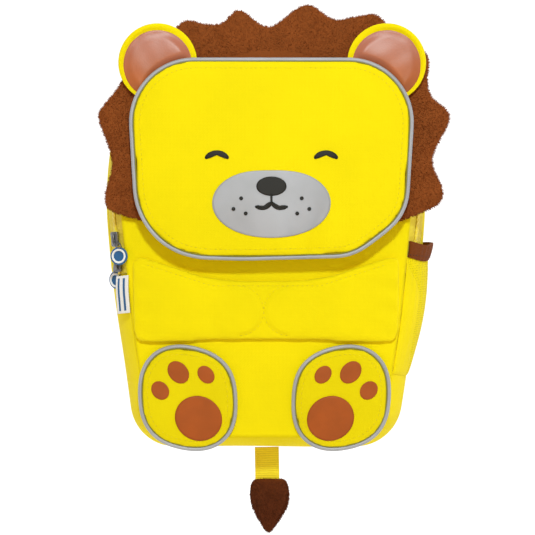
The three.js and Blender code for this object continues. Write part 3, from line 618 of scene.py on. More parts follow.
def woven_polyester(name, colour, thread_mm=0.9, drift=0.012, relief=0.16, rough=0.8):
    """Plain-woven polyester: warp and weft cross on a chequer, so the cloth has a fine even grain and a
    soft sheen."""
    material, tree, shader = new_finish(
        name, rough, Sheen_Weight=0.03, Sheen_Roughness=0.5, Specular_IOR_Level=0.12
    )
    uv = add_node(tree, "ShaderNodeUVMap", uv_map="cloth").outputs["UV"]
    place = add_node(tree, "ShaderNodeTexCoord").outputs["Object"]
    warp, weft = bands(tree, uv, thread_mm, "X"), bands(tree, uv, thread_mm, "Y")
    checker = add_node(
        tree, "ShaderNodeTexChecker", {"Vector": uv, "Scale": 1 / (thread_mm * MM)}
    ).outputs["Fac"]
    over = maths(tree, "MULTIPLY", warp, checker)
    under = maths(tree, "MULTIPLY", weft, maths(tree, "SUBTRACT", 1.0, checker))
    weave = maths(tree, "ADD", over, under)
    base = mottled(tree, place, 22, shaded(colour, 1 - drift), shaded(colour, 1 + drift))
    grain = add_node(tree, "ShaderNodeTexNoise", {"Vector": uv, "Scale": 900, "Detail": 2.0}).outputs["Fac"]
    # Painted shade: the colour darkens a little in the valleys between the threads.
    thread = maths(tree, "MULTIPLY", maths(tree, "SUBTRACT", 1.0, weave), 0.09)
    tone = mixed(tree, thread, base, linear(shaded(colour, 0.72)))
    tree.links.new(tone, shader.inputs["Base Color"])
    height = maths(tree, "ADD", weave, maths(tree, "MULTIPLY", grain, 0.35))
    bumped(tree, shader, height, 0.5, relief)
    return material


def ribbed_webbing(name, colour, rib_mm=1.5, rough=0.75):
    """Woven webbing: ribs across the band over fine lengthwise threads, which gives it a corded look."""
    material, tree, shader = new_finish(name, rough, Sheen_Weight=0.1, Specular_IOR_Level=0.3)
    uv = add_node(tree, "ShaderNodeUVMap", uv_map="cloth").outputs["UV"]
    place = add_node(tree, "ShaderNodeTexCoord").outputs["Object"]
    rib, thread = bands(tree, uv, rib_mm, "X"), bands(tree, uv, rib_mm * 0.6, "Y")
    height = maths(tree, "ADD", rib, maths(tree, "MULTIPLY", thread, 0.3))
    base = mottled(tree, place, 40, shaded(colour, 0.95), shaded(colour, 1.04))
    # Painted shade: the colour darkens in the grooves between the ribs.
    tone = mixed(
        tree,
        maths(tree, "MULTIPLY", maths(tree, "SUBTRACT", 1.0, rib), 0.22),
        base,
        linear(shaded(colour, 0.62)),
    )
    tree.links.new(tone, shader.inputs["Base Color"])
    bumped(tree, shader, height, 0.6, 0.3)
    return material


def short_plush(name, dark, light):
    """Short-pile plush: matt fibres that brush lighter and darker in patches, with a fine noise that darkens
    them here and there as painted shade among the fibres.
    """
    material, tree, shader = new_finish(
        name, 0.95, Sheen_Weight=0.35, Sheen_Roughness=0.4, Specular_IOR_Level=0.1
    )
    shader.inputs["Sheen Tint"].default_value = linear(light)
    place = add_node(tree, "ShaderNodeTexCoord").outputs["Object"]
    patch = mottled(tree, place, 45, dark, light, detail=3.0, low=0.25, high=0.75)
    fibre = add_node(
        tree, "ShaderNodeTexNoise", {"Vector": place, "Scale": 1400, "Detail": 3.0}
    ).outputs["Fac"]
    # Painted shade: a fine noise darkens the fibres towards a deeper brown.
    tone = mixed(tree, maths(tree, "MULTIPLY", fibre, 0.35), patch, linear(shaded(dark, 0.82)))
    tree.links.new(tone, shader.inputs["Base Color"])
    bumped(tree, shader, fibre, 0.7, 0.5)
    return material


def reflective_tape(name, colour):
    """Grey reflective cloth: fine glass beads under a smooth skin, even and slightly silvery."""
    material, tree, shader = new_finish(name, 0.5, Metallic=0.15, Specular_IOR_Level=0.5, Sheen_Weight=0.1)
    place = add_node(tree, "ShaderNodeTexCoord").outputs["Object"]
    bead = add_node(tree, "ShaderNodeTexVoronoi", {"Vector": place, "Scale": 2200}).outputs["Distance"]
    base = mottled(tree, place, 30, shaded(colour, 0.96), shaded(colour, 1.03))
    tree.links.new(base, shader.inputs["Base Color"])
    bumped(tree, shader, bead, 0.25, 0.1)
    return material


def printed_ink(name, colour, rough=0.6):
    """Screen-printed ink: a thin even film that takes the grain of the cloth below."""
    material, tree, shader = new_finish(name, rough, Specular_IOR_Level=0.35)
    uv = add_node(tree, "ShaderNodeUVMap", uv_map="cloth").outputs["UV"]
    place = add_node(tree, "ShaderNodeTexCoord").outputs["Object"]
    weave = maths(tree, "MULTIPLY", bands(tree, uv, 0.9, "X"), bands(tree, uv, 0.9, "Y"))
    base = mottled(tree, place, 90, shaded(colour, 0.975), shaded(colour, 1.025))
    tree.links.new(base, shader.inputs["Base Color"])
    bumped(tree, shader, weave, 0.3, 0.1)
    return material


def coated_leather(name, colour):
    """Imitation leather: a smooth glossy skin with a fine pebble grain, soft highlights and a painted sheen
    that turns the colour pinker towards the top.
    """
    material, tree, shader = new_finish(name, 0.42, Coat_Weight=0.18, Coat_Roughness=0.38, IOR=1.48)
    place = add_node(tree, "ShaderNodeTexCoord").outputs["Object"]
    pebble = add_node(tree, "ShaderNodeTexVoronoi", {"Vector": place, "Scale": 900}).outputs["Distance"]
    height = add_node(tree, "ShaderNodeSeparateXYZ", {"Vector": place}).outputs["Z"]
    # Painted sheen: the brown turns pale pink from 112 to 142 mm up, light on the upper lining painted into
    # its colour.
    painted_top_sheen = add_node(
        tree, "ShaderNodeMapRange", {"Value": height, "From Min": 0.112, "From Max": 0.142}
    ).outputs[0]
    base = mixed(
        tree, painted_top_sheen, mottled(tree, place, 45, shaded(colour, 0.95), shaded(colour, 1.06)), linear("#b4705e")
    )
    tree.links.new(base, shader.inputs["Base Color"])
    bumped(tree, shader, pebble, 0.2, 0.2)
    return material


def moulded(name, colour, rough=0.42, metallic=0.0, grain=600):
    """A moulded or cast part: a faint orange-peel skin with slightly uneven gloss."""
    material, tree, shader = new_finish(name, rough, Metallic=metallic)
    place = add_node(tree, "ShaderNodeTexCoord").outputs["Object"]
    skin = add_node(
        tree, "ShaderNodeTexNoise", {"Vector": place, "Scale": grain, "Detail": 2.0}
    ).outputs["Fac"]
    base = mottled(tree, place, 80, shaded(colour, 0.95), shaded(colour, 1.05))
    tree.links.new(base, shader.inputs["Base Color"])
    gloss = add_node(
        tree, "ShaderNodeMapRange", {"Value": skin, "To Min": rough * 0.85, "To Max": rough * 1.15}
    )
    tree.links.new(gloss.outputs[0], shader.inputs["Roughness"])
    bumped(tree, shader, skin, 0.12, 0.2)
    return material


def spacer_mesh(name, colour, pitch_mm=2.4, shade=0.55, relief=0.5):
    """Knitted mesh: rows of small holes over a soft ground, as on a padded back or a thin pocket."""
    material, tree, shader = new_finish(name, 0.85, Sheen_Weight=0.03, Specular_IOR_Level=0.12)
    uv = add_node(tree, "ShaderNodeUVMap", uv_map="cloth").outputs["UV"]
    cell = add_node(
        tree, "ShaderNodeTexVoronoi", {"Vector": uv, "Scale": 1 / (pitch_mm * MM), "Randomness": 0.25}
    ).outputs["Distance"]
    hole = add_node(
        tree, "ShaderNodeMapRange", {"Value": cell, "From Min": 0.12, "From Max": 0.42}
    ).outputs[0]
    # Painted shade: the holes take the darker shade, as the space seen through them lies in shadow.
    tone = mixed(tree, hole, linear(shaded(colour, shade)), linear(colour))
    tree.links.new(tone, shader.inputs["Base Color"])
    bumped(tree, shader, hole, 0.6, relief)
    return material


FINISHES = {}


def finish(name):
    return FINISHES[name]


def make_finishes(colours):
    """All finishes of the bag, each from its own colour."""
    FINISHES.update(
        cloth=woven_polyester("woven_yellow_polyester", colours.cloth),
        pocket=spacer_mesh(
            "yellow_pocket_mesh", shaded(colours.cloth, 0.98), pitch_mm=1.25, shade=0.8, relief=0.12
        ),
        foot=woven_polyester("woven_foot_polyester", shaded(colours.cloth, 0.95)),
        thread=moulded("yellow_sewing_thread", shaded(colours.cloth, 0.93), rough=0.6),
        binding_thread=moulded("brown_sewing_thread", shaded(colours.binding, 0.7), rough=0.6),
        webbing=ribbed_webbing("ribbed_yellow_webbing", colours.webbing),
        zip_tape=ribbed_webbing("twilled_zip_tape", colours.webbing, rib_mm=0.9),
        plush=short_plush("brown_short_plush", colours.mane, shaded(colours.mane, 1.12)),
        tail=short_plush("dark_short_plush", colours.tail, shaded(colours.tail, 1.15)),
        tape=reflective_tape("grey_reflective_tape", colours.tape),
        # seam: a thin dark olive cord laid inside the piping, a painted shadow line along its inner edge.
        seam=woven_polyester("olive_piping_seam", "#8f8b34", drift=0.02),
        ink=printed_ink("black_screen_ink", "#1d1d1b"),
        paw=printed_ink("brown_screen_ink", colours.paw),
        ear=coated_leather("brown_coated_leather", colours.ear),
        binding=woven_polyester("brown_folded_binding", colours.binding, thread_mm=1.1, relief=0.25),
        label=woven_polyester("white_satin_label", "#f4f6f7", thread_mm=0.6, relief=0.08, rough=0.5),
        stripe=printed_ink("blue_label_ink", colours.pull),
        rubber=moulded("blue_soft_rubber", colours.pull, rough=0.5),
        ring=moulded("white_soft_rubber", "#e9edf0", rough=0.5),
        metal=moulded("dark_plated_zinc", "#7f838a", rough=0.3, metallic=0.85, grain=900),
        plastic=moulded("yellow_acetal", colours.webbing, rough=0.38),
        back=spacer_mesh("yellow_spacer_mesh", shaded(colours.cloth, 0.96)),
    )


# Sizes and colours that a user would change


class BackpackSizes(bpy.types.PropertyGroup):
    """Sizes of the soft parts, in millimetres."""

    pile_length: FloatProperty(
        name="Pile length", description="Length of the mane's fibres", default=1.3, min=0
    )
    pile_width: FloatProperty(
        name="Pile width", description="Width at the root of a fibre", default=0.4, min=0.05
    )
    pucker: FloatProperty(name="Pucker", description="Height of the gathers beside a seam", default=0.35)
    seam_cord: FloatProperty(name="Seam cord", description="Radius of the cord in a body seam", default=1.3)


class BackpackColours(bpy.types.PropertyGroup):
    """Colours of the finishes, as sRGB hex values."""

    cloth: StringProperty(name="Cloth", description="Body, head, arms and feet", default="#fae800")
    webbing: StringProperty(
        name="Webbing", description="Straps, zip tape and tail strap", default="#ffe42a"
    )
    mane: StringProperty(name="Mane", description="Darker shade of the mane's plush", default="#8b4b22")
    tail: StringProperty(name="Tail", description="Darker shade of the tail's plush", default="#5c2e18")
    tape: StringProperty(name="Tape", description="Reflective piping and muzzle", default="#a8acb5")
    paw: StringProperty(name="Paw", description="Printed paw pads", default="#a8500f")
    ear: StringProperty(name="Ear", description="Coated leather in the ears", default="#b0602f")
    binding: StringProperty(name="Binding", description="Bound edge of the side pocket", default="#783d12")
    pull: StringProperty(name="Pull", description="Rubber zip pulls", default="#1d5c92")


def sizes():
    return bpy.context.scene.backpack_sizes


# Operators


class BuildOperator:
    """What all the operators share: one step that can be undone."""

    bl_options = {"REGISTER", "UNDO"}

    def execute(self, context):
        self.build(context)
        return {"FINISHED"}


class BACKPACK_OT_finishes(BuildOperator, bpy.types.Operator):
    """Make the cloth, plush, tape, ink, leather, rubber, metal and plastic finishes"""

    bl_idname = "backpack.finishes"
    bl_label = "Finishes"

    def build(self, context):
        make_finishes(context.scene.backpack_colours)


def puckered(position, share, amount):
    """Moves a side point out by small gathers that fade away from the front and back seams."""
    near = np.exp(-share * 12) + np.exp(-(1 - share) * 12)
    wave = np.sin(position * 0.9) * np.sin(position * 0.37 + 1.0)
    return amount * near * wave


class BACKPACK_OT_body(BuildOperator, bpy.types.Operator):
    """Build the back panel, the gussets, the front panel and their seam cords"""

    bl_idname = "backpack.body"
    bl_label = "Body"

    def build(self, context):
        pucker = sizes().pucker
        right, left = side_position(ZIP_HEIGHT, 1), side_position(ZIP_HEIGHT, -1)
        patches = (
            ("base_gusset_cloth", "base_gusset", left + 0.05, right + BODY_STEPS - 0.05, 0.0, 1.0),
            ("zip_gusset_cloth", "zip_gusset", right + 0.05, left - 0.05, 0.0, ZIP_START - 0.004),
        )
        for name, node, start, end, low, high in patches:
            position = np.linspace(start, end, 260)[:, None]
            share = np.linspace(low, high, 34)[None, :]
            flat = body_side(position, share)
            sag = ripples(flat, 70, 11) * 0.7 * np.sin(np.pi * np.clip(share, 0, 1)) - 0.2
            ends = np.exp(-(((position - start) / 1.0) ** 2)) + np.exp(-(((position - end) / 1.0) ** 2))
            points = body_side(position, share, sag + puckered(position, share, pucker) - 0.7 * ends)
            piece = cloth_grid(name, points, finish("cloth"), CLOTH)
            sewn = {"held": "stretched", "rests_on": ["back_panel_pad", "front_panel_cloth"]}
            settle(piece, [node], sheet=cut_size(piece, points) | sewn)
        rim = body_side(np.arange(0, BODY_STEPS, 2.0), 1.0)[:, [0, 2]]
        rings = np.linspace(0.02, 1, 46)
        centre = (rim.min(0) + rim.max(0)) / 2
        flat = centre + (rim - centre)[None] * rings[:, None, None]
        depth = front_surface(flat[..., 0], flat[..., 1])
        points = np.stack([flat[..., 0], depth, flat[..., 1]], -1)
        points[..., 1] += 0.25 * ripples(points, 55, 3) * (1 - rings[:, None] ** 4) + 0.25
        piece = swept("front_panel_cloth", points, finish("cloth"), uv=None)
        work = piece.data
        set_cloth_uv(piece)
        rear_pole = len(work.vertices) - 1
        edit = bmesh.new()
        edit.from_mesh(work)
        edit.verts.ensure_lookup_table()
        bmesh.ops.delete(edit, geom=[edit.verts[rear_pole]], context="VERTS")
        edit.to_mesh(work)
        edit.free()
        turn_towards(piece, (0, -1, 0))
        wall(piece, CLOTH)
        size = np.ptp(rim, axis=0) * MM * 1.02
        cut = {
            "flat": tuple(size),
            "area": one_face(piece),
            "held": "stretched",
            "rests_on": ["base_gusset", "zip_gusset"],
        }
        settle(piece, ["front_panel"], sheet=cut)
        self.back_panel()
        for name, share, out in (("front_seam_cord", 1.0, -0.5), ("back_seam_cord", 0.0, 0.4)):
            path = body_side(np.arange(0, BODY_STEPS, 1.5), share, out)
            path[:, 1] += -0.9 if share else 0.6
            settle(
                tube(name, path, sizes().seam_cord * (0.6 if share else 1), finish("cloth"), sides=8),
                [],
            )

    def back_panel(self):
        """A pad of spacer mesh with two upright sewn channels and one across."""
        rim = body_side(np.arange(0, BODY_STEPS, 2.0), 0.0)[:, [0, 2]]
        shares = np.concatenate([np.linspace(0.02, 0.92, 44), [0.95, 0.975, 0.99, 1.0]])

        def face(x, z, share):
            upright = np.exp(-(((np.abs(x) - 38) / 2.2) ** 2)) * (np.abs(z) < 108)
            groove = upright + np.exp(-(((z + 20) / 2.2) ** 2)) * (np.abs(x) < 85)
            edge = 1 - share**14
            return -BACK_PAD * 0.42 + BACK_PAD * 0.42 * edge - 1.1 * np.minimum(groove, 1) * edge - 0.3

        piece = pad_piece(
            "back_panel_pad", rim, shares, face, lambda x, z, share: -BACK_PAD + 0 * x, finish("back")
        )
        set_cloth_uv(piece)
        settle(piece, ["back_panel"])


def turned_to_front(ways, amount):
    """Three axes with the thin one leant to the front by an amount and the long one kept."""
    turned = ways[2] + np.array([0, -amount, 0])
    thin = unit(turned - ways[1] * (turned @ ways[1]))
    return np.stack([unit(np.cross(ways[1], turned)), ways[1], thin])


def turn_towards(piece, way):
    """Flips a sheet whose faces on the whole look away from a direction."""
    mesh = piece.data
    normals = np.empty(len(mesh.polygons) * 3)
    mesh.polygons.foreach_get("normal", normals)
    if (normals.reshape(-1, 3) @ np.asarray(way, float)).sum() < 0:
        mesh.flip_normals()


class BACKPACK_OT_zip(BuildOperator, bpy.types.Operator):
    """Build the zip tapes, the coil, the sliders and the round pulls"""

    bl_idname = "backpack.zip"
    bl_label = "Zip"

    def build(self, context):
        right, left = side_position(ZIP_HEIGHT, 1), side_position(ZIP_HEIGHT, -1)
        for name, node, low, high in (
            ("zip_tape_rear_cloth", "zip_tape_rear", ZIP_START, COIL_START),
            ("zip_tape_front_cloth", "zip_tape_front", COIL_END, 1.0),
        ):
            position = np.linspace(right + 0.1, left - 0.1, 260)[:, None]
            share = np.linspace(low, high, 8)[None, :]
            points = body_side(
                position, share, -0.15 + 0.12 * np.sin(position * 1.1) * (share - low) / (high - low)
            )
            settle(cloth_grid(name, points, finish("zip_tape"), THIN_CLOTH), [node])
        position = np.linspace(right + 0.1, left - 0.1, 1500)[:, None]
        share = np.linspace(COIL_START, COIL_END, 9)[None, :]
        across = (share - COIL_START) / (COIL_END - COIL_START)
        tooth = np.abs(np.sin(position * 1.55 + np.pi * 0.5 * (across > 0.5)))
        valley = 0.35 * np.exp(-(((across - 0.5) / 0.08) ** 2))
        rise = 0.35 + 0.65 * tooth * np.sin(np.pi * across) ** 0.5 - valley
        coil = cloth_grid("zip_coil_teeth", body_side(position, share, rise), finish("plastic"), THIN_CLOTH)
        settle(coil, ["zip_coil"])
        self.slider("upper")
        self.slider("lower")
        self.pull("upper")
        self.pull("lower")

    def slider(self, name):
        """A slider in the CAD slider's place: a waisted body and an arched bridge along it."""
        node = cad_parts[f"zip_slider_{name}"]
        middle, ways, half = node_axes(node)
        ways = turned_to_front(ways, 0.8)
        half = np.maximum(half, [3.5, 4.6, 1.9])
        middle = middle + SLIDER_SHIFT
        count, rings = 32, 14
        angle = np.arange(count) * TURN / count
        across = np.sign(np.cos(angle)) * np.abs(np.cos(angle)) ** 0.45
        along = np.sign(np.sin(angle)) * np.abs(np.sin(angle)) ** 0.45
        level = np.linspace(-1, 1, rings)[:, None]
        swell = (1 - np.abs(level) ** 6) ** (1 / 6)
        waist = 1 - 0.18 * (1 - along**2)
        local = (
            np.stack([across * waist * swell, along * swell, level + 0 * across], -1) * half * np.array(
                [0.98, 0.98, 0.62]
            )
        )
        local[..., 2] -= half[2] * 0.34
        body = swept(f"zip_slider_{name}_body", middle + local @ ways, finish("metal"))
        settle(body, [node.name])
        arch = np.linspace(0, np.pi, 18)
        path = np.stack(
            [0 * arch, -np.cos(arch) * half[1] * 0.62, np.sin(arch) * half[2] * 0.75 + half[2] * 0.12], 1
        )
        bridge, *_ = band(
            f"zip_slider_{name}_bridge", middle + path @ ways, 1.9, 0.9, finish("metal"), 24, side=ways[0]
        )
        settle(bridge, [])

    def pull(self, name):
        """A rubber disc with a raised rim and a shallow dish, and a cord loop up to its slider."""
        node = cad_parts[f"zip_pull_{name}"]
        middle, ways, _ = node_axes(node)
        ways = turned_to_front(ways, 0.9)
        middle = middle + PULL_SHIFT
        radius, count = PULL_RADIUS, 56
        profile = np.array(
            [
                (0.0, 0.45), (0.3, 0.45), (0.58, 0.5), (0.66, 0.82), (0.84, 0.98), (0.95, 0.8), (1.0, 0.3),
                (1.0, -0.3), (0.95, -0.8), (0.84, -0.98), (0.6, -0.8), (0.0, -0.8),
            ]
        )
        profile = open_steps(profile, 30)
        angle = np.arange(count) * TURN / count
        ring = np.maximum(profile[:, :1], 0.01) * radius
        local = np.stack([ring * np.cos(angle), ring * np.sin(angle), profile[:, 1:] * 0.9 + 0 * angle], -1)
        disc = swept(f"zip_pull_{name}_disc", middle + local @ ways, finish("rubber"))
        settle(disc, [node.name])
        slider = node_axes(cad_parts[f"zip_slider_{name}"])[0]
        top = middle - ways[1] * 4.6 * np.sign(ways[1][2]) * -1
        start, way = slider + LINK_SHIFT, unit(top - slider)
        turn = np.arange(40) * TURN / 40
        reach = np.linalg.norm(top - start) / 2 + 0.5
        centre = (start + top) / 2
        link = centre + np.cos(turn)[:, None] * reach * way + np.sin(turn)[:, None] * 2.3 * ways[0]
        settle(tube(f"zip_link_{name}", link, 0.55, finish("metal"), sides=10), [])
        turn = np.arange(72) * TURN / 72
        path = np.stack([np.cos(turn) * radius * 0.7, np.sin(turn) * radius * 0.7, 0 * turn + 0.7], 1)
        over = unit(path * [1, 1, 0])
        angle = np.arange(8) * TURN / 8
        loops = (
            path[:, None]
            + 0.75 * (
                over[:, None] * np.cos(angle)[:, None] + np.array([0, 0, 1.0]) * np.sin(angle)[:, None]
            )
        )
        settle(
            swept(f"zip_pull_{name}_ring", middle + loops @ ways, finish("ring"), close=True),
            [],
        )


def node_axes(node):
    """A flat node's middle, its three axes from widest to thinnest in rows, and its half sizes, in
    millimetres.
    The thin axis looks to the front and the long one down."""
    points = np.empty(len(node.data.vertices) * 3)
    node.data.vertices.foreach_get("co", points)
    points = points.reshape(-1, 3) / MM
    middle = (points.max(0) + points.min(0)) / 2
    _, _, ways = np.linalg.svd(points - points.mean(0), full_matrices=False)
    thin = ways[2] * (-1 if ways[2][1] > 0 else 1)
    down = np.array([0, 0, -1.0])
    long = unit(down - thin * (down @ thin))
    across = np.cross(long, thin)
    axes = np.stack([across, long, thin])
    local = (points - middle) @ axes.T
    middle = middle + ((local.max(0) + local.min(0)) / 2) @ axes
    return middle, axes, (local.max(0) - local.min(0)) / 2


MANE_POINTS = [
    (-26, 0.79), (-20, 0.88), (-15, 0.962), (-10, 0.962), (0, 0.893), (13, 1.013), (21, 0.953), (26, 0.962),
    (33, 1.035), (40, 1.015), (47, 0.98), (54, 0.985), (60, 0.905), (66, 0.845), (77.6, 0.872), (91, 0.73),
    (102, 0.84), (110, 0.8), (116, 0.83), (122, 0.9), (129, 0.895), (135, 0.945), (145, 0.945), (154, 0.934),
    (162, 0.972), (167, 0.982), (181, 0.882), (192, 0.942), (198, 0.933), (206, 0.785),
]  # fmt: skip


class BACKPACK_OT_mane(BuildOperator, bpy.types.Operator):
    """Build the plush mane with its points, folds and pile"""

    bl_idname = "backpack.mane"
    bl_label = "Mane"

    def build(self, context):
        table = np.array(MANE_POINTS)
        angle, reach = np.radians(table[:, 0]), table[:, 1] * MANE_REACH
        edge = open_steps(smooth_line(np.stack([reach * np.cos(angle), reach * np.sin(angle)], 1)), 420)
        out = np.concatenate(
            [np.linspace(0.58, 0.9, 16), 0.9 + 0.1 * np.sin(np.linspace(0.15, 0.5, 8) * np.pi)]
        )
        share = np.concatenate([out, out[::-1]])[None, :]
        front = np.concatenate([np.ones(len(out)), np.zeros(len(out))])[None, :]
        turn = np.unwrap(np.arctan2(edge[:, 1], edge[:, 0]))[:, None]
        radius = np.linalg.norm(edge, axis=1)[:, None]
        x = FLAP_SHIFT + edge[:, :1] * share
        z = MANE_CENTRE + edge[:, 1:] * share
        round_off = np.sqrt(np.clip(1 - np.clip((share - 0.9) / 0.1, 0, 1) ** 2, 0, 1))
        tip = smooth(share, 0.68, 1.0)
        fold = 0.55 * np.sin(turn * 23 + 0.8 * np.sin(turn * 5)) + 0.45 * np.sin(turn * 41 + 1.3)
        valley = (radius - MANE_REACH * 0.93) / MANE_REACH * 6
        middle = mane_back(x, z) - MANE_THICK / 2 + tip * (1.2 * fold - 0.8 * valley) + 0.6
        half = MANE_THICK / 2 * (0.35 + 0.65 * round_off) - 0.6
        y = middle - np.where(front > 0, 1, -1) * half * np.where((share < 1), 1, 0.2)
        loops = np.stack([x, y, z], -1)
        piece = swept("mane_plush", loops, finish("plush"))
        centre = np.array([FLAP_SHIFT, 0, MANE_CENTRE])

        def lay(root):
            way = unit((root - centre) * [1, 0, 1])
            return way * 0.75 + np.array([0, 0, -0.12])

        def shown(root, normal):
            far = np.linalg.norm((root - centre) * [1, 0, 1], axis=1)
            return np.where(normal[:, 1] < 0.3, 1.0, 0.35) * (far > 72)

        settle(piece, ["mane"])
        pile = add_pile(
            piece, 42000, sizes().pile_length, sizes().pile_width, lay, 5, finish("plush"), shown
        )
        settle(pile, [])


class BACKPACK_OT_ears(BuildOperator, bpy.types.Operator):
    """Build the cupped ears and their glossy linings"""

    bl_idname = "backpack.ears"
    bl_label = "Ears"

    def build(self, context):
        for side, name in ((-1, "left"), (1, "right")):
            cx, cz = FLAP_SHIFT + EAR_SHIFT + side * EAR_SPREAD, EAR_HEIGHT

            def reach(x, z):
                along = (side * (x - cx) + (z - cz)) * np.sqrt(0.5)
                return smooth(along, EAR_RADIUS * 0.12, EAR_RADIUS)

            def floor(x, z):
                return ear_back(x, z) - EAR_LEAN * reach(x, z)

            def fold(x, z):
                """The leather rises out from under the flap, turns at a curved crease and falls back to the
                rim."""
                along = (side * (x - cx) + (z - cz)) * np.sqrt(0.5)
                across = (side * (x - cx) - (z - cz)) * np.sqrt(0.5)
                away = along - 1.0 + 0.016 * (across - 6.0) ** 2
                return 2.6 * np.where(away < 0, np.exp(-((away / 3.6) ** 2)), np.exp(-((away / 15.0) ** 2)))

            turn = np.arange(96) * TURN / 96
            rows = np.array(
                [
                    (0.0, 0), (0.3, 0), (0.6, 0), (0.78, 0.02), (0.84, 0.3), (0.88, 0.8), (0.92, 1.0),
                    (0.96, 0.9), (0.99, 0.5), (1.0, 0.0), (0.99, -0.5), (0.96, -0.9), (0.9, -1), (0.5, -1),
                    (0.0, -1),
                ]
            )
            rows = open_steps(rows * [25, 3], 60) / [25, 3]
            share, level = np.maximum(rows[:, :1], 0.004), rows[:, 1:]
            x, z = cx + EAR_RADIUS * share * np.cos(turn), cz + EAR_RADIUS * share * np.sin(turn)
            rim = 0.4 + 2.2 * reach(x, z)
            base = floor(x, z)
            y = np.where(level >= 0, base - EAR_THICK - rim * level, base - EAR_THICK * (1 + level))
            points = np.stack([x, y, z + 0 * y], -1)
            points[..., 1] += 0.2 * ripples(points, 18, 21 + side)
            piece = swept(f"ear_{name}_cup", points, finish("cloth"))
            set_cloth_uv(piece)
            settle(piece, [f"ear_{name}"])
            rows = open_steps(
                np.array([(0.004, 1.0), (0.5, 1.0), (0.97, 1.0), (1.0, 0.7), (1.0, 0.0), (0.004, 0.0)]), 64
            )
            share = rows[:, :1] * 0.87
            low = share * EAR_RADIUS * np.sin(turn)
            x, z = cx + EAR_RADIUS * share * np.cos(turn), cz - 1.3 + low
            raised = fold(x, z) * smooth(1 - rows[:, :1], 0.0, 0.25)
            y = floor(x, z) - EAR_THICK - 0.15 - rows[:, 1:] * (LINING * 0.8 + raised)
            points = np.stack([x, y, z + 0 * y], -1)
            points[..., 1] += rows[:, 1:] * 0.25 * ripples(points, 14, 27 + side)
            lining = swept(f"ear_{name}_lining", points, finish("ear"))
            set_cloth_uv(lining)
            settle(lining, [f"ear_lining_{name}"])


def flap_outline(count=300):
    low = FLAP_HALF * FLAP_TAPER
    corners = [(low, FLAP_BOTTOM, 48), (FLAP_HALF, FLAP_TOP, 40)]
    outline = rounded_outline(corners + mirrored(corners), count) + [FLAP_SHIFT, 0]
    x, z = outline.T
    pucker = 1.1 + 1.5 * smooth(x, 10, 45) + 2.4 * np.exp(-(((x - 74) / 12) ** 2)) + 0.3 * np.sin(x * 0.11)
    return outline + np.stack([0 * x, smooth(-z, -40, -8) * pucker], 1)


def from_outline(points, outline):
    """How far each point is from a closed outline, seen from the front."""
    parts = np.array_split(points[:, [0, 2]], len(points) // 2000 + 1)
    return np.concatenate([np.linalg.norm(part[:, None] - outline[None], axis=2).min(1) for part in parts])


def front_depth(piece):
    """A helper that reads how far forward a piece's face lies at points: a ray cast from the front."""
    graph = bpy.context.evaluated_depsgraph_get()
    from mathutils.bvhtree import BVHTree

    tree = BVHTree.FromObject(piece, graph)

    def depth(x, z):
        flat = np.stack([np.ravel(x), np.ravel(z)], 1) * MM
        hits = [tree.ray_cast((px, -0.3, pz), (0, 1, 0))[0] for px, pz in flat]
        values = np.array([hit.y / MM if hit else np.nan for hit in hits]).reshape(np.shape(x))
        return np.where(np.isnan(values), np.nanmax(values) if np.isfinite(values).any() else 0, values)

    return depth


def printed_patch(name, outline, target, material, node, thickness=0.35, lift_by=0.15, rings=14):
    """A print over an outline: a disc of rings laid on a piece's face and given a thin wall."""
    centre = (outline.min(0) + outline.max(0)) / 2
    shares = np.linspace(0, 1, rings + 1)[1:]
    flat = centre + (outline - centre)[None] * shares[:, None, None]
    y = target(flat[..., 0], flat[..., 1]) - thickness - lift_by
    loops = np.stack([flat[..., 0], y, flat[..., 1]], -1)
    points = np.vstack([loops.reshape(-1, 3), [[centre[0], y[0].mean(), centre[1]]]])
    count = len(outline)
    step = np.arange(count)
    faces = grid_faces(rings, count, False, True).tolist()
    faces += np.stack([np.full(count, rings * count), step, (step + 1) % count], 1).tolist()
    piece = mesh_piece(name, points, faces, material)
    face_outwards(piece)
    turn_towards(piece, (0, -1, 0))
    wall(piece, thickness)
    return settle(piece, node)


def edge_cord(name, outline, depth, radius, material, out):
    """Piping along the edge of a pad, a little outside its outline."""
    flat = outline + outward(outline) * out
    path = np.stack([flat[:, 0], depth(outline[:, 0], outline[:, 1]), flat[:, 1]], 1)
    return tube(name, path, radius, material, sides=12)


def stitches(name, path, normal, material, length=2.3, pitch=3.3, width=0.6, rise=0.25):
    """A sewn line: eight-faced thread grains laid end to end along a path of points, each in the surface's
    plane."""
    run = np.concatenate([[0], np.cumsum(np.linalg.norm(np.diff(path, axis=0), axis=1))])
    at = np.arange(pitch / 2, run[-1], pitch)
    middle = np.stack([np.interp(at, run, path[:, axis]) for axis in range(3)], 1)
    ahead = np.stack([np.interp(at + 0.5, run, path[:, axis]) for axis in range(3)], 1)
    behind = np.stack([np.interp(at - 0.5, run, path[:, axis]) for axis in range(3)], 1)
    along = unit(ahead - behind)
    out = unit(np.broadcast_to(np.asarray(normal, float), along.shape))
    over = unit(np.cross(along, out))
    corners = [
        along * length / 2, over * width / 2, -along * length / 2, -over * width / 2, out * rise,
        -out * rise,
    ]
    points = (middle[:, None] + np.stack(corners, 1)).reshape(-1, 3)
    grain = np.array(
        [(0, 1, 4), (1, 2, 4), (2, 3, 4), (3, 0, 4), (1, 0, 5), (2, 1, 5), (3, 2, 5), (0, 3, 5)]
    )
    faces = (np.arange(len(at))[:, None, None] * 6 + grain).reshape(-1, 3)
    piece = mesh_piece(name, points, faces, material)
    face_outwards(piece)
    return settle(piece, [])


def laid_on(flat, depth, rise=0.0):
    """Points in X and Z put on a face of known depth, raised to the front by a little."""
    return np.stack([flat[:, 0], depth(flat[:, 0], flat[:, 1]) - rise, flat[:, 1]], 1)


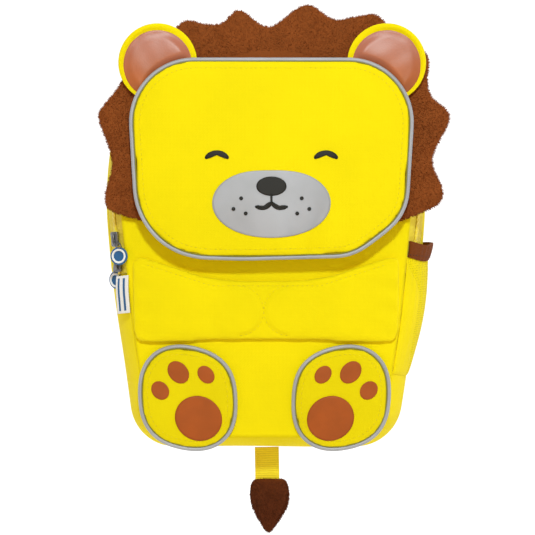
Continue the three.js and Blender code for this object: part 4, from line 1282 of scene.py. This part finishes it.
class BACKPACK_OT_head(BuildOperator, bpy.types.Operator):
    """Build the padded head flap, its piping and a plain lion's face"""

    bl_idname = "backpack.head"
    bl_label = "Head"

    def build(self, context):
        outline = flap_outline()
        shares = np.concatenate([np.linspace(0.03, 0.9, 22), [0.94, 0.97, 0.99, 1.0]])

        def face(x, z, share):
            return flap_back(x, z) - 3.0 - 2.2 * (1 - share**8)

        def back(x, z, share):
            return flap_back(x, z) + 0.0 * x

        piece = pad_piece(
            "head_flap_pad", outline + outward(outline) * 0.9, shares, face, back, finish("cloth")
        )
        inflate(piece, lambda at: from_outline(at, outline) < 4.0, 2.0, 3.0, voxel=2.3)
        points = read_points(piece)
        x, z = points[:, 0] - FLAP_SHIFT, points[:, 2]
        low = smooth(-z, -36, 2)
        slant = x - 0.25 * z
        fold = 1.5 * np.exp(-(((slant - 27) / 4.5) ** 2)) - 1.3 * np.exp(-(((slant - 38) / 5.5) ** 2))
        fold += (
            0.9 * np.exp(-(((slant - 50) / 5) ** 2))
            - 0.8 * np.exp(-(((x - 6) / 7) ** 2))
            + 0.8 * np.exp(-(((x + 20) / 9) ** 2))
        )
        front_side = smooth(flap_back(points[:, 0], points[:, 2]) - points[:, 1], 1.5, 4.0)
        points[:, 1] += front_side * (low * fold * 1.3 + 0.3 * ripples(points, 60, 9))
        write_points(piece, points)
        settle(piece, ["head_flap"])
        deep = lambda x, z: flap_back(x, z) - PIPING - 0.1
        cord = edge_cord("flap_piping_cord", outline, deep, PIPING, finish("tape"), GAP + PIPING * 0.9)
        settle(cord, ["flap_piping"])
        # A thin dark olive cord just inside the piping: a painted shadow line.
        line = edge_cord(
            "flap_piping_seam", outline, lambda x, z: deep(x, z) - PIPING * 0.75, 0.45, finish("seam"), 0.1
        )
        settle(line, [])
        on_flap = front_depth(piece)
        inner = outline - outward(outline) * 4.2
        stitches("flap_stitches", laid_on(inner, on_flap), (0, -1, 0), finish("thread"))
        self.face(on_flap)

    def face(self, on_flap):
        """A plain lion's face: a two-lobed muzzle, an oval nose, a short smile, dots, and eyes as closed
        arcs."""
        cx, cz = FLAP_SHIFT, 30.0
        turn = np.arange(120) * TURN / 120
        lobes = 1 + 0.1 * np.cos(2 * turn) - 0.06 * np.maximum(0, np.sin(turn)) ** 6
        muzzle = np.stack([cx + 35.5 * lobes * np.cos(turn), cz + 25.5 * lobes * np.sin(turn)], 1)
        printed_patch(
            "muzzle_patch", muzzle, on_flap, finish("tape"), ["muzzle"], 0.5, 0.1, 26
        )
        level = 0.65
        printed_patch(
            "nose_print", ellipse(cx, cz + 11, 10, 6.4), on_flap, finish("ink"), ["nose"],
            0.3, level, 8,
        )
        for side, name in ((-1, "left"), (1, "right")):
            arc = np.linspace(0.12, 0.88, 26) * np.pi
            hub = (cx + side * 36, 58.0)
            line = np.stack([hub[0] + 7.4 * np.cos(arc), hub[1] + 5.6 * np.sin(arc)], 1)
            printed_patch(
                f"eye_{name}_print", stroke(line, 2.3), on_flap, finish("ink"), [f"eye_{name}"],
                0.3, 0.1, 3,
            )
            arc = np.linspace(1.04, 1.75, 20) * np.pi if side > 0 else np.linspace(1.96, 1.25, 20) * np.pi
            hub = (cx + side * 6.0, cz + 1.0)
            line = np.stack([hub[0] + 6.0 * np.cos(arc), hub[1] + 5.0 * np.sin(arc)], 1)
            printed_patch(
                f"smile_{name}_print", stroke(line, 1.5), on_flap, finish("ink"), [], 0.3,
                level, 3,
            )
            for row, (across, up) in enumerate(((20, 3), (25, -4), (17, -7))):
                dot = ellipse(cx + side * across, cz + up, 1.3, 1.3, 20)
                printed_patch(
                    f"whisker_dot_{name}_{row}", dot, on_flap, finish("ink"), [], 0.3, level,
                    3,
                )
        line = np.stack([np.full(12, cx), np.linspace(cz + 5.5, cz + 0.6, 12)], 1)
        printed_patch(
            "lip_line_print", stroke(line, 1.5), on_flap, finish("ink"), [], 0.3, level, 3
        )


def stroke(line, width):
    """The outline of a line of a width with round ends."""
    along = unit(np.gradient(line, axis=0))
    over = np.stack([along[:, 1], -along[:, 0]], 1) * width / 2
    cap = np.linspace(0, np.pi, 8)[1:-1, None]
    ends = [
        line[-1] + over[-1] * np.cos(cap) + along[-1] * np.sin(cap) * width / 2,
        line[0] - over[0] * np.cos(cap) - along[0] * np.sin(cap) * width / 2,
    ]
    return np.vstack([line + over, ends[0], (line - over)[::-1], ends[1]])


def hand_edge(x, z):
    """Distance from the two quilted arcs that round off the hands, each half a circle towards the
    middle."""
    best = np.full(np.shape(x), 99.0)
    for side in (-1, 1):
        hub = -1.5 + side * (HAND_RADIUS + 0.1)
        around = np.hypot(x - hub, z - HAND_HEIGHT)
        away = np.where(side * (x - hub) < 0, np.abs(around - HAND_RADIUS), 99.0)
        best = np.minimum(best, away)
    return best


def between_hands(x, z):
    """Whether a point lies outside both hands, above or below the place where they meet."""
    left = np.hypot(x + 1.5 + HAND_RADIUS, z - HAND_HEIGHT) > HAND_RADIUS
    right = np.hypot(x + 1.5 - HAND_RADIUS, z - HAND_HEIGHT) > HAND_RADIUS
    return left & right & (np.abs(x + 1.5) < HAND_RADIUS)


class BACKPACK_OT_arms(BuildOperator, bpy.types.Operator):
    """Build the stuffed arms: one padded band from seam to seam, quilted along the hands"""

    bl_idname = "backpack.arms"
    bl_label = "Arms"

    def build(self, context):
        corners = [(86.8, -61.6, 5), (89.5, -4, 5), (36, -21.6, 110)]
        outline = rounded_outline(corners + mirrored(corners), 320)
        outline[:, 1] += np.where(
            outline[:, 1] < -50, 1.6 * (1 - np.clip(np.abs(outline[:, 0] + 1.5) / 70, 0, 1) ** 2), 0
        )

        def back(x, z, share):
            return front_surface(x, z) - GAP

        def front(x, z, share):
            return back(x, z, share) - 3.6 - 2.6 * (1 - share**8) * np.where(between_hands(x, z), 0.2, 1)

        shares = np.concatenate([np.linspace(0.02, 0.88, 24), [0.92, 0.955, 0.98, 0.995, 1.0]])
        arm = pad_piece("arms_pad", outline + outward(outline) * 0.9, shares, front, back, finish("cloth"))

        def sewn(at):
            x, z = at[:, 0], at[:, 2]
            return (from_outline(at, outline) < 2.4) | (np.abs(x) > 85) | (
                hand_edge(x, z) < 1.7
            ) | between_hands(x, z)

        inflate(arm, sewn, 4.5, 5.0, voxel=2.2)
        points = read_points(arm)
        x, z = points[:, 0], points[:, 2]
        front_side = smooth(back(x, z, 0) - points[:, 1], 2, 4.2)
        seam = np.exp(-((hand_edge(x, z) / 1.5) ** 2))
        top = np.interp(np.abs(x), [0, 36, 88], [-21.6, -21.6, -5.0])
        seam = np.maximum(seam, 0.7 * np.exp(-(((z - top + 3.2) / 1.4) ** 2)))
        pull = np.exp(-np.abs(np.abs(x) - 86) / 9) * np.sin(z * 0.42 + x * 0.08)
        crease = np.exp(-(((np.abs(x + 1.5) - 36 - 0.3 * (z + 40)) / 4.5) ** 2)) * smooth(-z, 30, 50)
        points[:, 1] += (
            front_side * (0.95 * seam + 0.5 * pull + 0.8 * crease + 0.4 * ripples(points, 42, 31))
        )
        write_points(arm, points)
        settle(arm, ["arm_left", "arm_right", "arm_backing"])
        on_arms = front_depth(arm)
        line = np.linspace(-80, 80, 200)
        flat = np.stack([line, np.interp(np.abs(line), [0, 36, 88], [-21.6, -21.6, -5.0]) - 3.2], 1)
        stitches("arm_top_stitches", laid_on(flat, on_arms), (0, -1, 0), finish("thread"))
        for side, name in ((-1, "left"), (1, "right")):
            turn = np.linspace(-0.5, 0.5, 80) * np.pi
            hub = -1.5 + side * (HAND_RADIUS + 0.1)
            flat = np.stack(
                [hub - side * HAND_RADIUS * np.cos(turn), HAND_HEIGHT + HAND_RADIUS * np.sin(turn)], 1
            )
            stitches(f"hand_{name}_stitches", laid_on(flat, on_arms), (0, -1, 0), finish("thread"))


PAW = (
    ("toe_outer", 0.613, 0.173, 6.6, 5.5, 0.85),
    ("toe_middle", 0.222, 0.566, 8.2, 6.3, 0.85),
    ("toe_inner", -0.375, 0.516, 6.5, 5.0, 0.85),
    ("main_pad", -0.212, -0.43, 16.0, 14.8, 0.5),
)


def foot_outline(side, count=220):
    """A rounded pad that is longest from its upper outer corner to its lower inner one."""
    angle = np.arange(count) * TURN / count
    turn = (angle if side > 0 else np.pi - angle) - FOOT_LEAN
    first = 0.0175 * np.cos(turn) - 0.0125 * np.sin(turn)
    second = 0.05 * np.cos(2 * turn) + 0.025 * np.sin(2 * turn)
    reach = FOOT_RADIUS * (1 + first + second + 0.032 * np.cos(4 * turn))
    centre = FOOT_SHIFT + side * FOOT_SPREAD
    return np.stack([centre + reach * np.cos(angle), FOOT_CENTRE + reach * np.sin(angle)], 1)


class BACKPACK_OT_feet(BuildOperator, bpy.types.Operator):
    """Build the two padded feet with their piping and printed paws"""

    bl_idname = "backpack.feet"
    bl_label = "Feet"

    def build(self, context):
        for side, name in ((-1, "left"), (1, "right")):
            cx = FOOT_SHIFT + side * FOOT_SPREAD
            outline = foot_outline(side)
            back = lambda x, z, share: front_surface(x, z) - GAP
            front = lambda x, z, share: back(x, z, share) - 3.0 - 2.4 * (1 - share**6)
            shares = np.concatenate([np.linspace(0.03, 0.88, 14), [0.93, 0.97, 0.99, 1.0]])
            foot = pad_piece(
                f"foot_{name}_pad", outline + outward(outline) * 0.9, shares, front, back, finish("foot")
            )
            inflate(foot, lambda at: from_outline(at, outline) < 3.0, 3.0, 3.0, voxel=2.2)
            points = read_points(foot)
            front_side = smooth(back(points[:, 0], points[:, 2], 0) - points[:, 1], 2, 5)
            points[:, 1] += 0.35 * ripples(points, 30, 41 + side) * front_side
            write_points(foot, points)
            settle(foot, [f"foot_{name}"])
            depth = lambda x, z: front_surface(x, z) - GAP - PIPING - 0.1
            cord = edge_cord(
                f"foot_{name}_piping", outline, depth, PIPING, finish("tape"), GAP + PIPING * 0.9
            )
            settle(cord, [f"foot_piping_{name}"])
            # A thin dark olive cord just inside the piping: a painted shadow line.
            line = edge_cord(
                f"foot_{name}_piping_shadow_line",
                outline,
                lambda x, z: depth(x, z) - PIPING * 0.75,
                0.45,
                finish("seam"),
                0.1,
            )
            settle(line, [])
            on_foot = front_depth(foot)
            inner = outline - outward(outline) * 3.6
            stitches(f"foot_{name}_stitches", laid_on(inner, on_foot), (0, -1, 0), finish("thread"))
            for pad, across, up, wide, high, tilt in PAW:
                middle = (cx + side * across * PAW_REACH, FOOT_CENTRE + up * PAW_REACH)
                shape = ellipse(*middle, wide, high, 56, side * tilt)
                printed_patch(
                    f"{pad}_{name}_print", shape, on_foot, finish("paw"), [f"{pad}_{name}"],
                    0.3, 0.1, 10,
                )


class BACKPACK_OT_side_pocket(BuildOperator, bpy.types.Operator):
    """Build the gathered side pocket of mesh with a plain front strip, its bound mouth and the side tag"""

    bl_idname = "backpack.side_pocket"
    bl_label = "Side pocket and tag"

    def build(self, context):
        low, high = side_position(POCKET_BOTTOM, 1), side_position(POCKET_TOP, 1)
        rows, columns, strip = 110, 72, 46
        rear, front = MOUTH_SHARES
        up = np.linspace(0, 1, rows)[:, None]
        fold = STRIP_FOOT + 0.11 * smooth(up, 0, 0.4) + 0.17 * smooth(up, 0.66, 0.98) ** 1.2
        mesh_part = np.linspace(0, 1, strip + 1)[None, :]
        strip_part = np.linspace(0, 1, columns - strip)[None, 1:]
        share = np.concatenate([rear + (fold - rear) * mesh_part, fold + (front - fold) * strip_part], 1)
        across = np.clip(1 - np.abs((share - 0.52) / 0.47) ** 3, 0, None)
        position = low + (high - low) * up
        swell = GAP + POCKET_BULGE * across * np.sin(POCKET_TURN * up**1.05)
        gather = np.sin(share * 95 + 0.6 * np.sin(up * 7)) * (0.1 + 0.4 * up**3) * across
        gather -= 0.45 * np.exp(-(((share - fold) / 0.014) ** 2))
        tuck = 1.2 * np.exp(-up / 0.02) + 0.3 * np.exp(-(((front - share) / 0.01) ** 2))
        points = body_side(position, share, swell + NET + gather - tuck)
        piece = cloth_grid("side_pocket_cloth", points, finish("pocket"), NET)
        piece.data.materials.append(finish("cloth"))
        plain = np.tile(np.arange(columns - 1) >= strip, rows - 1).astype(np.int32)
        piece.data.polygons.foreach_set("material_index", plain)
        cut = cut_size(piece, points) | {"held": "gathered", "rests_on": ["base_gusset_cloth"]}
        settle(piece, ["side_pocket"], sheet=cut)
        share = np.linspace(*MOUTH_SHARES, 66)[None, :]
        across = np.clip(1 - np.abs((share - 0.52) / 0.47) ** 3, 0, None)
        mouth = GAP + POCKET_BULGE * across * np.sin(POCKET_TURN)
        up = np.linspace(0, 1, 30)[:, None]
        dip = (
            0.16 * np.sin(np.pi * np.clip((share - 0.6) / 0.4, 0, 1))
            - 0.1 * np.sin(np.pi * np.clip(share / 0.6, 0, 1))
        )
        position = high + 0.15 + (side_position(POCKET_TOP + 11, 1) - high) * (up - dip)
        roll = np.sin(np.pi * np.clip(up, 0.02, 0.98)) ** 0.4
        gather = np.sin(share * 95) * 0.3 * across
        points = body_side(
            position, share, mouth + 1.3 + BINDING_FLARE * 1.2 * across * up + 0.7 * roll + gather
        )
        binding = cloth_grid("pocket_binding_cloth", points, finish("binding"), 1.9)
        cut = cut_size(binding, points) | {"held": "folded", "rests_on": ["side_pocket_cloth"]}
        settle(binding, ["pocket_binding"], sheet=cut)
        seam = body_side(
            side_position(POCKET_TOP + 2, 1) + 0 * share[0],
            share[0],
            (mouth + 2.0 + BINDING_FLARE * 0.2 * across)[0] + 0.15,
        )
        stitches("binding_stitches", seam, (1, 0, 0), finish("binding_thread"))
        self.tag()

    def tag(self):
        """A folded white tape with two plain stripes, curling a little off the gusset."""
        up = np.linspace(0, 1, 60)[:, None]
        position = side_position(-18.8, -1) + (side_position(-43.8, -1) - side_position(-18.8, -1)) * up
        share = np.linspace(1 - 11 / BODY_DEPTH, 1, 22)[None, :]
        curl = 2 * GAP + 1.1 + 2.4 * up + 0.4 * np.sin(up * 5)
        twist = lambda across: 1.9 * (1 - across)
        points = body_side(position, share, curl + twist(np.linspace(0, 1, 22)[None, :])) + TAG_SHIFT
        piece = cloth_grid("side_tag_tape", points, finish("label"), 1.0)
        cut = cut_size(piece, points) | {"held": "hung", "rests_on": ["zip_gusset_cloth"]}
        settle(piece, ["side_tag"], sheet=cut)
        for row, (start, end) in enumerate(((0.2, 0.36), (0.64, 0.8))):
            across = np.linspace(start, end, 6)[None, :]
            part = share[:, 0] + (share[:, -1] - share[:, 0]) * across
            points = body_side(position[4:-4], part, curl[4:-4] + twist(across) + 0.12) + TAG_SHIFT
            stripe = cloth_grid(f"side_tag_stripe_{row}", points, finish("stripe"), 0.1)
            settle(stripe, [])


class BACKPACK_OT_tail(BuildOperator, bpy.types.Operator):
    """Build the webbing tail and its plush tuft"""

    bl_idname = "backpack.tail"
    bl_label = "Tail"

    def build(self, context):
        top, bottom = -FOOT - GAP, -FOOT - GAP - 21
        path = [
            (0.5, TAIL_DEPTH, top + 0.1),
            (0.7, TAIL_DEPTH - 0.3, (top + bottom) / 2),
            (0.9, TAIL_DEPTH, bottom - 2.0),
        ]
        strap, *_ = band(
            "tail_strap_webbing", path, 16.4, 1.7, finish("webbing"), 40, section=48, round_edge=0.3
        )
        settle(strap, ["tail_strap"])
        rows = np.array(
            [
                (0, 0.1), (0.005, 0.45), (0.015, 0.72), (0.06, 0.88), (0.18, 0.98), (0.33, 1.0), (0.5, 0.9),
                (0.68, 0.67), (0.85, 0.38), (0.96, 0.17), (1.0, 0.02),
            ]
        )
        rows = smooth_line(rows * [36.5, 12.9], 7)
        turn = np.arange(80) * TURN / 80
        down, radius = rows[:, :1], rows[:, 1:]
        lock = 1 + 0.05 * np.sin(turn * 9 + down * 0.12) * smooth(down, 4, 20)
        x = 2.4 + radius * lock * np.cos(turn) - 0.6 * smooth(down, 20, 36.5)
        y = TAIL_DEPTH + radius * lock * 0.6 * np.sin(turn)
        loops = np.stack([x, y, bottom - GAP - down + 0 * x], -1)
        tuft = swept("tail_tuft_plush", loops, finish("tail"))
        settle(tuft, ["tail_tuft"])

        def lay(root):
            return np.array([0, 0, -1.1]) + 0 * root

        pile = add_pile(tuft, 9000, sizes().pile_length * 0.9, sizes().pile_width, lay, 6, finish("tail"))
        settle(pile, [])


def strap_line(side):
    spread, rise = STRAP_SPREAD, GAP + STRAP_PAD / 2
    return [
        (side * spread, rise, 96),
        (side * spread, rise + 3, 112),
        (side * (spread + 2), 22, 121),
        (side * (spread + 5), 40, 106),
        (side * (spread + 9), 52, 60),
        (side * (spread + 12), 50, 10),
        (side * (spread + 15), 38, -36),
    ]


class BACKPACK_OT_straps(BuildOperator, bpy.types.Operator):
    """Build the padded shoulder straps, their webbing, the chest strap, the buckle and the hang loop"""

    bl_idname = "backpack.straps"
    bl_label = "Straps"

    def build(self, context):
        for side, name in ((-1, "left"), (1, "right")):
            self.shoulder_strap(side, name)
        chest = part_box("chest_buckle")
        middle = (np.array(chest[0]) + np.array(chest[1])) / 2 / MM
        for side, name in ((-1, "left"), (1, "right")):
            low, high = (np.array(corner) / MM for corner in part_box(f"chest_strap_{name}"))
            centre = (low + high) / 2
            path = [
                (low[0], centre[1], centre[2]),
                (centre[0], centre[1] + 0.15, centre[2] - 0.4),
                (high[0], centre[1], centre[2]),
            ]
            strap, *_ = band(
                f"chest_strap_{name}_webbing", path, WEB_WIDTH, 1.6, finish("webbing"), 50, section=40,
                side=(0, 0, 1), round_edge=0.3,
            )
            settle(strap, [f"chest_strap_{name}"])
        self.buckle(middle)
        self.loop()

    def shoulder_strap(self, side, name):
        """A crowned pad with a sewn line inside each edge, and webbing below its adjuster."""
        line = open_steps(smooth_line(strap_line(side)), 150)
        along = unit(np.gradient(line, axis=0))
        level = np.array([1.0, 0, 0])
        across = unit(level - along * (along @ level)[:, None])
        out = np.cross(across, along)
        angle = np.arange(72) * TURN / 72
        u = np.sign(np.cos(angle)) * np.abs(np.cos(angle)) ** 0.5
        v = np.sign(np.sin(angle)) * np.abs(np.sin(angle)) ** 0.5
        run = np.linspace(0, 1, len(line))[:, None]
        end = 1 - 0.25 * smooth(run, 0.9, 1.0)
        groove = 0.35 * np.exp(-(((np.abs(u) - 0.8) / 0.045) ** 2))
        quilt = 0.06 * np.sin(run * 150) * smooth(1 - np.abs(u), 0.15, 0.4)
        fade = 1 - 0.35 * smooth(run, 0.93, 1.0)
        thick = STRAP_PAD / 2 * (0.72 + 0.28 * (1 - u**2) - groove + quilt) * fade
        loops = (
            line[:, None]
            + across[:, None] * (u * STRAP_WIDTH / 2 * end)[..., None]
            + out[:, None] * (v * thick)[..., None]
        )
        strap = swept(f"shoulder_strap_{name}_pad", loops, finish("cloth"))
        settle(strap, [f"shoulder_strap_{name}"])
        node = f"strap_webbing_{name}"
        top = (side * (STRAP_SPREAD + 15) + side * 0.9, 31.5, -50)
        path = [
            top,
            (top[0] + side * 3, top[1] - 8, top[2] - 31),
            (side * (STRAP_SPREAD + 28), 6, -100),
            (side * (STRAP_SPREAD + 29), 1.1, -116),
        ]
        web, *_ = band(
            f"strap_webbing_{name}_band", path, WEB_WIDTH, 1.6, finish("webbing"), 90, section=40,
            round_edge=0.3,
        )
        settle(web, [node])

    def buckle(self, middle):
        """A side-release buckle shown closed: a waisted shell with a raised centre and two side ribs."""
        angle = np.arange(96) * TURN / 96
        level = np.linspace(-1, 1, 22)[:, None]
        swell = (1 - np.abs(level) ** 5) ** 0.2
        u = np.sign(np.cos(angle)) * np.abs(np.cos(angle)) ** 0.3
        w = np.sign(np.sin(angle)) * np.abs(np.sin(angle)) ** 0.3
        waist = 1 - 0.16 * np.exp(-((u / 0.35) ** 2))
        loops = (
            np.stack(
                [u * 16 * swell, level * (3.2 - 0.9 * np.abs(u) ** 3) + 0 * u, w * 13.3 * waist * swell], -1
            )
            + middle
        )
        shell = swept("chest_buckle_shell", loops, finish("plastic"))
        settle(shell, ["chest_buckle"])
        for side, name in ((-1, "left"), (1, "right")):
            path = [
                middle + (side * 11, 3.4, -8), middle + (side * 8.6, 3.7, 0), middle + (side * 11, 3.4, 8)
            ]
            rib, *_ = band(f"chest_buckle_rib_{name}", path, 1.6, 1.0, finish("plastic"), 20, section=12)
            settle(rib, [])

    def loop(self):
        """The hang loop: a flat band bent in its own plane, its ends sewn to the back."""
        turn = np.linspace(np.pi, 0, 60)
        top = 146 - 5 - 12
        path = np.stack([12 * np.cos(turn), 0 * turn, top + 12 * np.sin(turn)], 1)
        left_leg = [(-12, 0, height) for height in np.linspace(102, top - 1, 20)]
        right_leg = [(12, 0, height) for height in np.linspace(top - 1, 102, 20)]
        path = np.vstack([left_leg, path, right_leg])
        along = unit(np.gradient(path, axis=0))
        over = np.cross(along, [0, 1.0, 0])
        angle = np.arange(36) * TURN / 36
        u = np.sign(np.cos(angle)) * np.abs(np.cos(angle)) ** 0.35 * 5
        v = np.sign(np.sin(angle)) * np.abs(np.sin(angle)) ** 0.35 * 1.4
        loops = (
            path[:, None]
            + over[:, None] * u[:, None]
            + np.array([0, 1.0, 0]) * v[:, None]
            + [0, GAP + 1.5, 0]
        )
        settle(swept("grab_handle_band", loops, finish("webbing")), ["grab_handle"])


class BACKPACK_OT_hardware(BuildOperator, bpy.types.Operator):
    """Give the carried-over rein ring, its tab and the strap adjusters their finishes"""

    bl_idname = "backpack.hardware"
    bl_label = "Hardware"

    def build(self, context):
        kept = {
            "rein_ring": "metal",
            "ring_tab": "webbing",
            "strap_adjuster_left": "plastic",
            "strap_adjuster_right": "plastic",
        }
        for node, name in kept.items():
            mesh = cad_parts[node].data
            mesh.materials.clear()
            mesh.materials.append(finish(name))


class BACKPACK_OT_stage(BuildOperator, bpy.types.Operator):
    """Set up the pale stage, the soft lights and the camera"""

    bl_idname = "backpack.stage"
    bl_label = "Stage"

    def build(self, context):
        scene = context.scene
        turn = np.linspace(0, np.pi / 2, 16)
        floor, bend, far = -0.216, 0.8, 2.6
        curve = np.stack([far + bend * np.sin(turn), floor + bend * (1 - np.cos(turn))], 1)
        profile = np.vstack([[(0.0001, floor), (0.5, floor), (1.5, floor)], curve, [(far + bend, 3.4)]])
        around = np.arange(64)[None] * TURN / 64
        points = np.stack(
            [profile[:, :1] * np.cos(around), profile[:, :1] * np.sin(around), profile[:, 1:] + 0 * around],
            -1,
        )
        material, tree, shader = new_finish("glowing_white_paper", 0.9, Specular_IOR_Level=0.1)
        place = add_node(tree, "ShaderNodeTexCoord").outputs["Object"]
        tree.links.new(mottled(tree, place, 3, "#8c8c8c", "#929292"), shader.inputs["Base Color"])
        # The paper glows as a light: its emission is weak and warm in front of the bag and strong and white
        # behind it, which keeps the backdrop white and warms the shadows on the bag.
        depth = add_node(tree, "ShaderNodeSeparateXYZ", {"Vector": place}).outputs["Y"]
        glow = add_node(
            tree,
            "ShaderNodeMapRange",
            {"Value": depth, "From Min": -0.5, "From Max": 0.2, "To Min": 0.24, "To Max": 0.95},
        )
        tree.links.new(glow.outputs[0], shader.inputs["Emission Strength"])
        warmth = add_node(
            tree, "ShaderNodeMapRange", {"Value": depth, "From Min": -0.5, "From Max": 0.2}
        ).outputs[0]
        tree.links.new(
            mixed(tree, warmth, (1, 0.82, 0.62, 1), (1, 1, 1, 1)), shader.inputs["Emission Color"]
        )
        bowl = mesh_piece(
            "paper_bowl", points.reshape(-1, 3) / MM, grid_faces(*points.shape[:2], False, True), material
        )
        turn_towards(bowl, (0, 0, 1))
        world = bpy.data.worlds.new("even_light")
        scene.world = world
        world.use_nodes = True
        world.node_tree.nodes["Background"].inputs["Color"].default_value = (1, 0.68, 0.5, 1)
        world.node_tree.nodes["Background"].inputs["Strength"].default_value = 0.43
        for name, place, size, power, tilt in (
            ("key", (0.05, -1.45, 0.76), 0.14, 13.6, (1.09, 0, 0.035)),
            ("fill", (0.0, -2.3, -0.1), 0.4, 6.5, (1.61, 0, 0)),
            ("top", (0.0, 0.1, 1.9), 1.2, 5, (0, 0, 0)),
            ("side", (1.9, -0.2, 0.6), 1.0, 5, (1.25, 0, 1.5)),
        ):
            light = bpy.data.lights.new(name, "AREA")
            light.energy, light.size = power, size
            light.color = {"key": (0.86, 1, 1), "fill": (1, 0.55, 0.25)}.get(name, (1, 1, 1))
            lamp = bpy.data.objects.new(name, light)
            lamp.location, lamp.rotation_euler = place, Euler(tilt)
            scene.collection.objects.link(lamp)
        camera = bpy.data.cameras.new("camera")
        camera.lens, camera.sensor_width = 36 * 2.0 / 0.3638, 36
        eye = bpy.data.objects.new("camera", camera)
        eye.location, eye.rotation_euler = (0.001, -2.045, -0.0126), Euler((np.pi / 2, 0, 0))
        scene.collection.objects.link(eye)
        scene.camera = eye
        scene.view_settings.view_transform = "Standard"
        scene.view_settings.look = "None"


class BACKPACK_PT_panel(bpy.types.Panel):
    """Lists the steps in the sidebar"""

    bl_idname = "BACKPACK_PT_panel"
    bl_label = "Lion backpack"
    bl_space_type = "VIEW_3D"
    bl_region_type = "UI"
    bl_category = "Backpack"

    def draw(self, context):
        for group in (context.scene.backpack_sizes, context.scene.backpack_colours):
            for key in group.bl_rna.properties.keys():
                if key not in {"rna_type", "name"}:
                    self.layout.prop(group, key)
        for step in STEPS:
            self.layout.operator(step.bl_idname)


STEPS = (
    BACKPACK_OT_stage,
    BACKPACK_OT_finishes,
    BACKPACK_OT_body,
    BACKPACK_OT_zip,
    BACKPACK_OT_mane,
    BACKPACK_OT_ears,
    BACKPACK_OT_head,
    BACKPACK_OT_arms,
    BACKPACK_OT_feet,
    BACKPACK_OT_side_pocket,
    BACKPACK_OT_tail,
    BACKPACK_OT_straps,
    BACKPACK_OT_hardware,
)
CLASSES = (BackpackSizes, BackpackColours, *STEPS, BACKPACK_PT_panel)


def register():
    for one in CLASSES:
        bpy.utils.register_class(one)
    bpy.types.Scene.backpack_sizes = PointerProperty(type=BackpackSizes)
    bpy.types.Scene.backpack_colours = PointerProperty(type=BackpackColours)


def unregister():
    del bpy.types.Scene.backpack_colours
    del bpy.types.Scene.backpack_sizes
    for one in reversed(CLASSES):
        bpy.utils.unregister_class(one)


def main():
    register()
    for step in STEPS:
        group, name = step.bl_idname.split(".")
        getattr(getattr(bpy.ops, group), name)()


if __name__ == "__main__":
    main()
